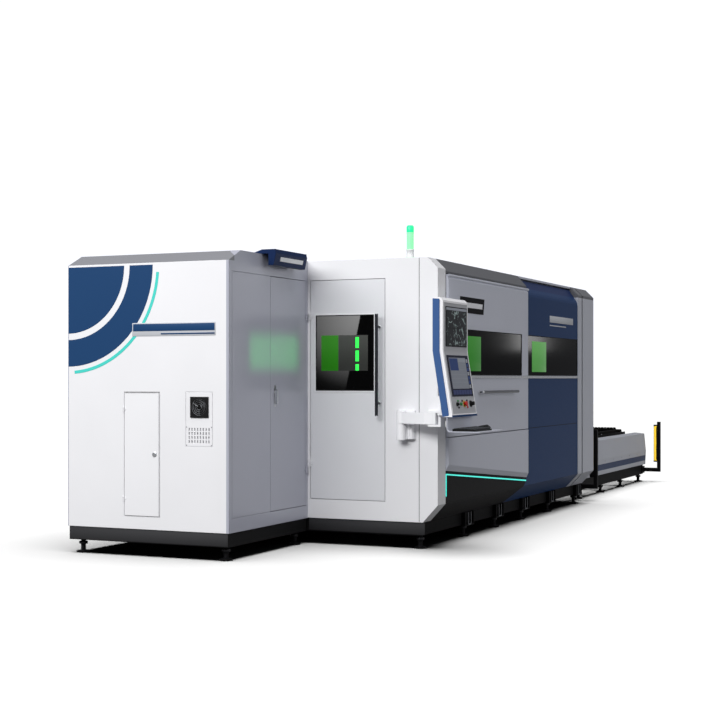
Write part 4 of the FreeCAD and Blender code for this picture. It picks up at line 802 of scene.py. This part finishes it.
class CUTTER_OT_console(bpy.types.Operator):
    """Side covers, screen pictures, control rings, keys and rear cover of the console"""
    bl_idname = "cutter.console"
    bl_label = "Console Details"

    def execute(self, context):
        cover = [(-1279, 1938), (-1279, 1546), (-1356, 1056), (-1304, 1047), (-1224.5, 1544), (-1224.5, 1942)]
        sole = [(-1388.2, 1046), (-1303, 1046), (-1303, 1044.6), (-1388.2, 1044.6)]
        piece("console_side_cover", "console", "navy_paint", ["side blue powder coat", "navy powder coat"],
              *[(form, cover, "X", x, x + 6.3) for x in (-3725.8, -3185.5)],
              (on_face, *CONSOLE_SIDES, 1046, 1060, 2.2, 5, 1),
              (form, sole, "X", *CONSOLE_SIDES))

        piece("camera_pictures", "console", "screen", ["screen grey", "camera picture"],
              on_screen(-3655, -3210, 1858, 1877, 0, 2.1),
              *[on_screen(x, x + 221, z, z + 130, 1, 2.1) for x in (-3655, -3431) for z in (1590, 1725)])
        left, middle, right = -3622, -3440, -3276
        pale, navy, grey, blue, slate = range(5)
        touch = [on_screen(-3628, -3268, 1258, 1496, pale, 2.0), on_screen(left, -3446, 1398, 1490, navy),
                 on_screen(middle, right, 1462, 1490, grey)]
        for row in range(4):
            touch.append(on_screen(middle, right, 1404 + row * 14, 1406 + row * 14, grey))
            touch.append(on_screen(left, right, 1276 + row * 30, 1278 + row * 30, grey))
        touch += [on_screen(-3260, -3220, 1262 + row * 33, 1288 + row * 33, blue if row % 3 else grey, 2.0)
                  for row in range(7)]
        touch += [on_screen(-3628 + key * 58, -3576 + key * 58, 1214, 1248, slate, 2.0) for key in range(7)]
        piece("touch_picture", "console", "screen",
              ["screen pale", "screen navy", "screen grey", "screen blue", "screen slate"], *touch)

        controls = []
        for x, radius, finish in ((-3425, 27, 1), (-3510, 20, 0), (-3595, 18, 0), (-3285, 27, 2)):
            ring = [(0, radius), (1.6, radius), (2.4, radius - 1.5), (2.4, radius - 6), (0, radius - 6)]
            controls.append(control(x, CONTROL_ROW, ring, finish, PLATE_SIDES))
        button = [(0, 9), (2, 9), (2.5, 7), (7, 7), (8, 5.5)]
        for x, z, finish in ((-3560, 1165, 3), (-3560, 1115, 2), (-3470, 1165, 2), (-3365, 1165, 2),
                             (-3365, 1115, 4)):
            controls.append(control(x, z, button, finish, FOOT_SIDES))
        piece("control_rings", "console", "steel",
              ["brushed stainless", "yellow powder coat", "black ABS", "green ABS", "red ABS"], *controls)

        keys, tray = context.scene.cutter.key_columns, -3690
        repeat("keyboard_keys", "console", "cap", "dark grey ABS", (keys, 5),
               (tray + 175 / keys, -1546, 955), ((350 / keys, 0, 0), (0, 26, 1.15)), (300 / keys, 21, 8),
               (2.4, 0, 0))
        piece("key_strip", "console", "black_plastic", ["dark grey ABS", "seal rubber and seam shadow"],
              (slab, (tray, -1408, 956), (-3340, -1382, 961), 0, 1.5),
              (slab, (-3281.5, -1515, 963), (-3278.5, -1478, 976), 1, 1),
              (slab, (-3282.5, -1508, 968), (-3277.5, -1492, 978.5), 0, 1.5))
        piece("console_rear_cover", "console", "white_paint", ["white powder coat", "black ABS"],
              (slab, (-3660, -1224.5, 1600), (-3245, -1221, 1900), 0, 1.5),
              *[(slab, (-3600, -1221.5, z), (-3305, -1219, z + 6), 1) for z in range(1760, 1872, 14)])
        bolts("rear_cover_screws", (4, 2), (-3645, -1221, 1614), ((128, 0, 0), (0, 0, 272)), (8, 2.4),
              TO_REAR, "console")
        return {"FINISHED"}


class CUTTER_OT_frame_parts(bpy.types.Operator):
    """Nuts and threads of the feet, lifting brackets, roof strips, panel bolts and duct flanges"""
    bl_idname = "cutter.frame_parts"
    bl_label = "Frame Details"

    def execute(self, context):
        # where the levelling feet stand, and the height that each one's nut is measured down from
        feet = [(x, y, 104) for x in (-3340, -2380, -1580, -810, 50, 1030) for y in (-970, 1219)]
        feet += [(x, y, 104) for x in (-4620, -3520) for y in (50, 1310)]
        feet += [(x, y, 100) for x in (1650, 2600, 3550, 4500) for y in (-850, 1099)]
        nuts = []
        for x, y, rise in feet:
            foot = (x, y, 0)
            nut = [(rise - 40, 29), (rise - 38, 33), (rise - 19, 33), (rise - 17, 29)]
            nuts.append((turned, foot, "Z", nut, 0, 6))
            nuts += [(turned, foot, "Z", [(z, 18.4), (z + 2, 20.5), (z + 4, 18.4)], 0, 12)
                     for z in range(22, 62, 8)]
            nuts.append((turned, foot, "Z", [(14, 40), (17, 36), (20, 24), (21, 20)], 0, 16))
        piece("foot_nuts", "machine", "black_paint", ["black oxide"], *nuts)

        front, back = -1037, -1033
        brackets = []
        for x in (-2380, -1580, -810, 50, 1030):
            for side in (x - 36, x + 28):
                brackets.append((slab, (side, front, 104), (side + 8, back, 207), 0, 0.8))
            brackets.append((slab, (x - 36, front, 100), (x + 36, back, 108), 0, 0.8))
        piece("lifting_brackets", "machine", "black_paint", ["machine enamel"], *brackets)

        roof, thick, seams = 2284, 2.5, (-2650, -2000, -1340, -700, -60)
        piece("roof_strips", "machine", "grey_paint", ["light grey powder coat"],
              *[(slab, (x - 18, -1056, roof), (x + 18, 1305, roof + thick), 0, 1) for x in seams],
              *[(slab, (x - 160, 300, roof), (x + 160, 900, roof + 16), 0, 5) for x in (-2950, 200)])
        bolts("roof_bolts", (5, 12), (seams[0], -1000, roof + thick), ((650, 0, 0), (0, 200, 0)), PANEL_BOLT)
        for number, x in enumerate((-2298, -1338, -378)):
            bolts("rear_bolts_%d" % number, (2, 8), (x - 34, REAR_FACE, 520), ((68, 0, 0), (0, 0, 220)),
                  PANEL_BOLT, TO_REAR)
        bolts("portal_bolts", (2, 9), (630, REAR_FACE, 420), ((60, 0, 0), (0, 0, 215)), PANEL_BOLT, TO_REAR)
        bolts("end_bolts", (2, 9), (1195, -1080, 420), ((0, 2409, 0), (0, 0, 215)), PANEL_BOLT, TO_TABLE)

        flange, duct_face = [(125, 100), (125, 126), (131, 126), (133, 100)], 1523
        piece("duct_flanges", "machine", "grey_paint", ["light grey powder coat"],
              *[(turned, (x, REAR_FACE, 570), "Y", flange, 0, 40) for x in (-2300, -300)],
              (slab, (-1500, duct_face - 3.5, 470), (-1100, duct_face, 670), 0, 1.5))
        bolts("duct_bolts", (2, 2), (-1480, duct_face, 490), ((360, 0, 0), (0, 0, 160)), (9, 3), TO_REAR)
        return {"FINISHED"}


class CUTTER_OT_table(bpy.types.Operator):
    """Slat teeth and wheel hubs of the pallets, and curtain lenses, edging and bolts of the table"""
    bl_idname = "cutter.table"
    bl_label = "Table Details"

    def execute(self, context):
        slats, teeth = 21, 34
        pitch = (3300 - 246) / (slats - 1)
        # each pallet's near end and the height of its deck
        for body, start, deck in (("upper_pallet", 1320, 610), ("lower_pallet", -2150, 370)):
            repeat(body + "_teeth", body, "tooth", "burnt mill steel", (slats, teeth),
                   (start + 123, -540, deck + 82), ((pitch, 0, 0), (0, 40.3, 0)), (5, 40, 18))
            hubs = []
            for x in range(start + 150, start + 4150, 1000):
                for y, first, last in ((-638, -3, 6), (887, -6, 3)):
                    hubs.append((turned, (x, y, deck + 24), "Y", [(first, 14), (0, 16), (last, 14)], 0, 18))
            piece(body + "_hubs", body, "steel", ["zinc plate"], *hubs)

        front, back = -1093, -1045
        shapes = [(slab, (x, -1089, 282), (x + 1.8, -1080, 713), 0, 0.5) for x in (1445.4, 4528.8)]
        for x, foot in ((1413, 335), (4529, 276)):
            shapes.append((slab, (x, front, 258), (x + 34, back, foot), 1, 2))
            shapes.append((slab, (x, front, 719), (x + 34, back, 737), 1, 2))
        piece("curtain_lenses", "machine", "tinted_window", ["display glass", "black ABS"], *shapes)

        # the edging's outline, measured in from the outside of either cover
        edging = [(40, 225), (7, 225), (-1, 400), (21, 621), (150, 633), (150, 624), (29, 612), (7, 400),
                  (15, 233), (40, 233)]
        piece("cover_edging", "machine", "seal_rubber", ["seal rubber and seam shadow"],
              (form, [(-940 + y, z) for y, z in edging], "X", 4546, 4551),
              (form, [(1189 - y, z) for y, z in edging], "X", 4546, 4551))
        for number, (y, turn) in enumerate(((-938.5, TO_FRONT), (1187.5, TO_REAR))):
            bolts("cover_bolts_%d" % number, (9, 1), (1300, y, 378), ((395, 0, 0), (0, 0, 1)), (10, 3), turn)
        return {"FINISHED"}


class CUTTER_OT_inside(bpy.types.Operator):
    """Rack teeth, head fittings, carriage plate and beam chain inside the enclosure"""
    bl_idname = "cutter.inside"
    bl_label = "Inside Details"

    def execute(self, context):
        for number, y in enumerate((-824, 1073)):
            repeat("rack_teeth_%d" % number, "machine", "block", "ground steel", (230, 1),
                   (-3090, y, 786), ((15.8, 0, 0), (0, 0, 1)), (8, 16, 12))
        head = (-2502.5, -570, 0)
        piece("head_fittings", "cutting_head", "steel", ["brushed stainless", "black ABS", "nozzle copper"],
              *[(turned, head, "Z", [(low, 43.5), (low + 2, 45), (high - 2, 45), (high, 43.5)])
                for low, high in ((1028, 1054), (900, 916))],
              (turned, head, "Z", [(803, 3), (806, 7), (815, 8)], 2, 24),
              (turned, head, "Z", [(1060, 22), (1078, 22), (1080, 14), (1100, 14)], 1, 24),
              (slab, (-2462, -596, 945), (-2456, -544, 975), 1, 2))
        piece("carriage_plate", "head_carriage", "grey_paint", ["navy powder coat", "light grey powder coat"],
              (slab, (-2468.5, -700, 1100), (-2465, -440, 1290), 0, 1.5),
              (slab, (-2467, -640, 1150), (-2463, -500, 1240), 1, 1.5))
        tray_top = 1186
        piece("beam_chain", "gantry", "black_plastic", ["machine enamel", "black ABS"],
              (slab, (-2880, -700, tray_top - 6), (-2700, 950, tray_top), 0, 2),
              *[(slab, (-2870, y, tray_top), (-2790, y + 34, tray_top + 36), 1, 3)
                for y in range(-690, 950, 41)])
        return {"FINISHED"}


# ---------------------------------------------------------------- studio, sizes in metres
# solved from the photograph: it looks 24.2 degrees off the machine's length, and its middle lies 14 of its
# 728 pixels above the horizon
CAMERA_PLACE = (-13.70, -5.14, 1.34)
CAMERA_TURN = 24.2
LENS_MM, SENSOR_MM = 70.12, 36
PICTURE_RISE = 14 / 728
FLOOR_REACH = 60
SKY = (0.97, 0.985, 1.05, 1)
WHITE, GREEN = (1, 1, 1), (0.05, 1.0, 0.16)
EVERY_WAY = 180
# the solids that lamps of their own light
LIT = {
    "front windows": "front_door_window blue_window",
    "entry window": "end_door_window",
    "cabinet side": "cabinet_shell side_door",
    "light curtain": "curtain_units",
    "console housing": "wall_bracket console_arm console_knuckle console_shell",
}


def by_ray(tree, always, camera, mirror):
    """A value, with a share more for the camera's rays and one for rays off a gloss or through a pane."""
    rays = node(tree, "ShaderNodeLightPath").outputs
    value = node(tree, "ShaderNodeMath", {"operation": "MULTIPLY_ADD", 1: camera, 2: always},
                 {0: rays["Is Camera Ray"]}).outputs[0]
    for kind in ("Is Glossy Ray", "Is Transmission Ray"):
        value = node(tree, "ShaderNodeMath", {"operation": "MULTIPLY_ADD", 1: mirror},
                     {0: rays[kind], 2: value}).outputs[0]
    return value


class CUTTER_OT_studio(bpy.types.Operator):
    """Pale floor, soft lamps and the camera of the photograph"""
    bl_idname = "cutter.studio"
    bl_label = "Studio"

    def lamp(self, context, name, kind, power, place, aim, roll, lit, blockers):
        """Adds a lamp that looks along aim, rolled about it; blockers are what can shade it."""
        light = bpy.data.lights.new(name, kind)
        light.energy = power
        holder = bpy.data.objects.new(name, light)
        holder.location = place
        holder.rotation_mode = "QUATERNION"
        spin = Quaternion((0, 0, 1), math.radians(roll))
        holder.rotation_quaternion = Vector(aim).to_track_quat("-Z", "Y") @ spin
        holder.light_linking.receiver_collection = lit
        holder.light_linking.blocker_collection = blockers
        holder.visible_camera = False
        context.scene.collection.objects.link(holder)
        return light

    def floor(self, context):
        """A matt floor, pale to the camera and dark to the machine, so that it throws little light on it."""
        tree, place, out = blank("studio floor")
        tone = by_ray(tree, 0.004, 0.05, 0.02)
        colour = node(tree, "ShaderNodeCombineColor", None, {0: tone, 1: tone, 2: tone}).outputs[0]
        patch = node(tree, "ShaderNodeTexNoise", {"Scale": 1.0, "Detail": 2.0}, {"Vector": place})
        rough = node(tree, "ShaderNodeMapRange", {3: 0.0, 4: 0.1}, {0: patch.outputs["Fac"]}).outputs[0]
        shader = node(tree, "ShaderNodeBsdfDiffuse", None, {"Color": colour, "Roughness": rough})
        tree.links.new(shader.outputs[0], out.inputs[0])
        ground = bmesh.new()
        bmesh.ops.create_grid(ground, x_segments=1, y_segments=1, size=FLOOR_REACH)
        data = bpy.data.meshes.new("studio_floor")
        ground.to_mesh(data)
        ground.free()
        data.materials.append(FINISH["studio floor"])
        made = bpy.data.objects.new("studio_floor", data)
        context.scene.collection.objects.link(made)
        made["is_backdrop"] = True
        return made

    def air(self, context):
        """White air behind the machine, dimmer where it lights or is mirrored."""
        world = bpy.data.worlds.new("studio air")
        world.use_nodes = True
        tree = world.node_tree
        tree.nodes.clear()
        sky = node(tree, "ShaderNodeBackground", {"Color": SKY}, {"Strength": by_ray(tree, 0.07, 1.0, 0.25)})
        node(tree, "ShaderNodeOutputWorld", None, {0: sky.outputs[0]})
        context.scene.world = world

    def camera(self, context):
        """The camera of the photograph: level, its picture shifted up past the horizon."""
        camera = bpy.data.cameras.new("photo_camera")
        camera.lens = LENS_MM
        camera.sensor_width = SENSOR_MM
        camera.shift_y = PICTURE_RISE
        camera.clip_end = 200
        holder = bpy.data.objects.new("photo_camera", camera)
        holder.location = CAMERA_PLACE
        ahead = math.radians(CAMERA_TURN)
        holder.rotation_mode = "QUATERNION"
        holder.rotation_quaternion = Vector((math.cos(ahead), math.sin(ahead), 0)).to_track_quat("-Z", "Y")
        context.scene.collection.objects.link(holder)
        context.scene.camera = holder
        context.scene.view_settings.view_transform = "Standard"

    def execute(self, context):
        floor = self.floor(context)
        self.air(context)
        on_floor = bpy.data.collections.new("lit from above")
        on_floor.objects.link(floor)
        machine = bpy.data.collections.new("lit from the side")
        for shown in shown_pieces():
            machine.objects.link(shown)
        groups = {}
        for label, names in LIT.items():
            groups[label] = bpy.data.collections.new(label)
            for name in names.split():
                groups[label].objects.link(NODES[name])
        # name, watts per square metre, degrees across, aim, and what it lights
        suns = (("fill_sun", 0.74, 60, (0.1, 1.0, -0.3), machine),
                ("top_sun", 1.1, 60, (0.1, 0.1, -1.0), machine),
                ("console_sun", 0.45, 40, (0.8, 0.55, -0.3), groups["console housing"]),
                ("floor_sun", 62.0, 50, (0.12, 0.05, -1.0), on_floor))
        for name, power, width, aim, lit in suns:
            sun = self.lamp(context, name, "SUN", power, (0, 0, 9), aim, 0, lit, machine)
            sun.angle = math.radians(width)
        # name, watts, place, aim, size, colour, degrees of spread and of roll, what it lights, what shades it
        entry = groups["entry window"]
        cards = (("key_card", context.scene.cutter.card_power, (-14, 2.0, 7.5), (1.0, -0.12, -0.6), (14, 4),
                  WHITE, EVERY_WAY, 0, machine, machine),
                 ("window_card", 8.0, (8.94, -4.34, 2.05), (-0.95, 0.3, -0.03), (0.5, 0.5),
                  WHITE, EVERY_WAY, 0, groups["front windows"], machine),
                 ("entry_card", 0.25, (-3.751, 0.228, 1.617), (0.9103, -0.4115, -0.044), (0.9, 1.5),
                  WHITE, 6.0, -11.3, entry, entry),
                 ("curtain_card", 500.0, (0, -5, 2.5), (4.5, 3.9, -2.0), (1.5, 1.5),
                  WHITE, EVERY_WAY, 0, groups["light curtain"], machine),
                 ("pane_spill", 0.24, (-3.98, -0.5, 1.54), (0, 1, 0), (0.8, 0.26),
                  GREEN, 20, 0, groups["cabinet side"], machine))
        for name, power, place, aim, size, colour, width, roll, lit, blockers in cards:
            card = self.lamp(context, name, "AREA", power, place, aim, roll, lit, blockers)
            card.shape = "RECTANGLE"
            card.size, card.size_y = size
            card.color = colour
            card.spread = math.radians(width)
        self.camera(context)
        return {"FINISHED"}


STEPS = (CUTTER_OT_finishes, CUTTER_OT_cabinet, CUTTER_OT_entry, CUTTER_OT_front, CUTTER_OT_lights,
         CUTTER_OT_console, CUTTER_OT_frame_parts, CUTTER_OT_table, CUTTER_OT_inside, CUTTER_OT_studio)


class CUTTER_PT_panel(bpy.types.Panel):
    """The cutter's settings and steps"""
    bl_idname = "CUTTER_PT_panel"
    bl_label = "Sheet Laser Cutter"
    bl_space_type = "VIEW_3D"
    bl_region_type = "UI"
    bl_category = "Cutter"

    def draw(self, context):
        for name in CutterSettings.__annotations__:
            self.layout.prop(context.scene.cutter, name)
        for step in STEPS:
            self.layout.operator(step.bl_idname)


def register():
    for item in (CutterSettings, *STEPS, CUTTER_PT_panel):
        bpy.utils.register_class(item)
    bpy.types.Scene.cutter = PointerProperty(type=CutterSettings)


def unregister():
    del bpy.types.Scene.cutter
    for item in reversed((CutterSettings, *STEPS, CUTTER_PT_panel)):
        bpy.utils.unregister_class(item)


def main():
    """Runs each step in order."""
    register()
    for step in STEPS:
        group, action = step.bl_idname.split(".")
        getattr(getattr(bpy.ops, group), action)()


if __name__ == "__main__":
    main()
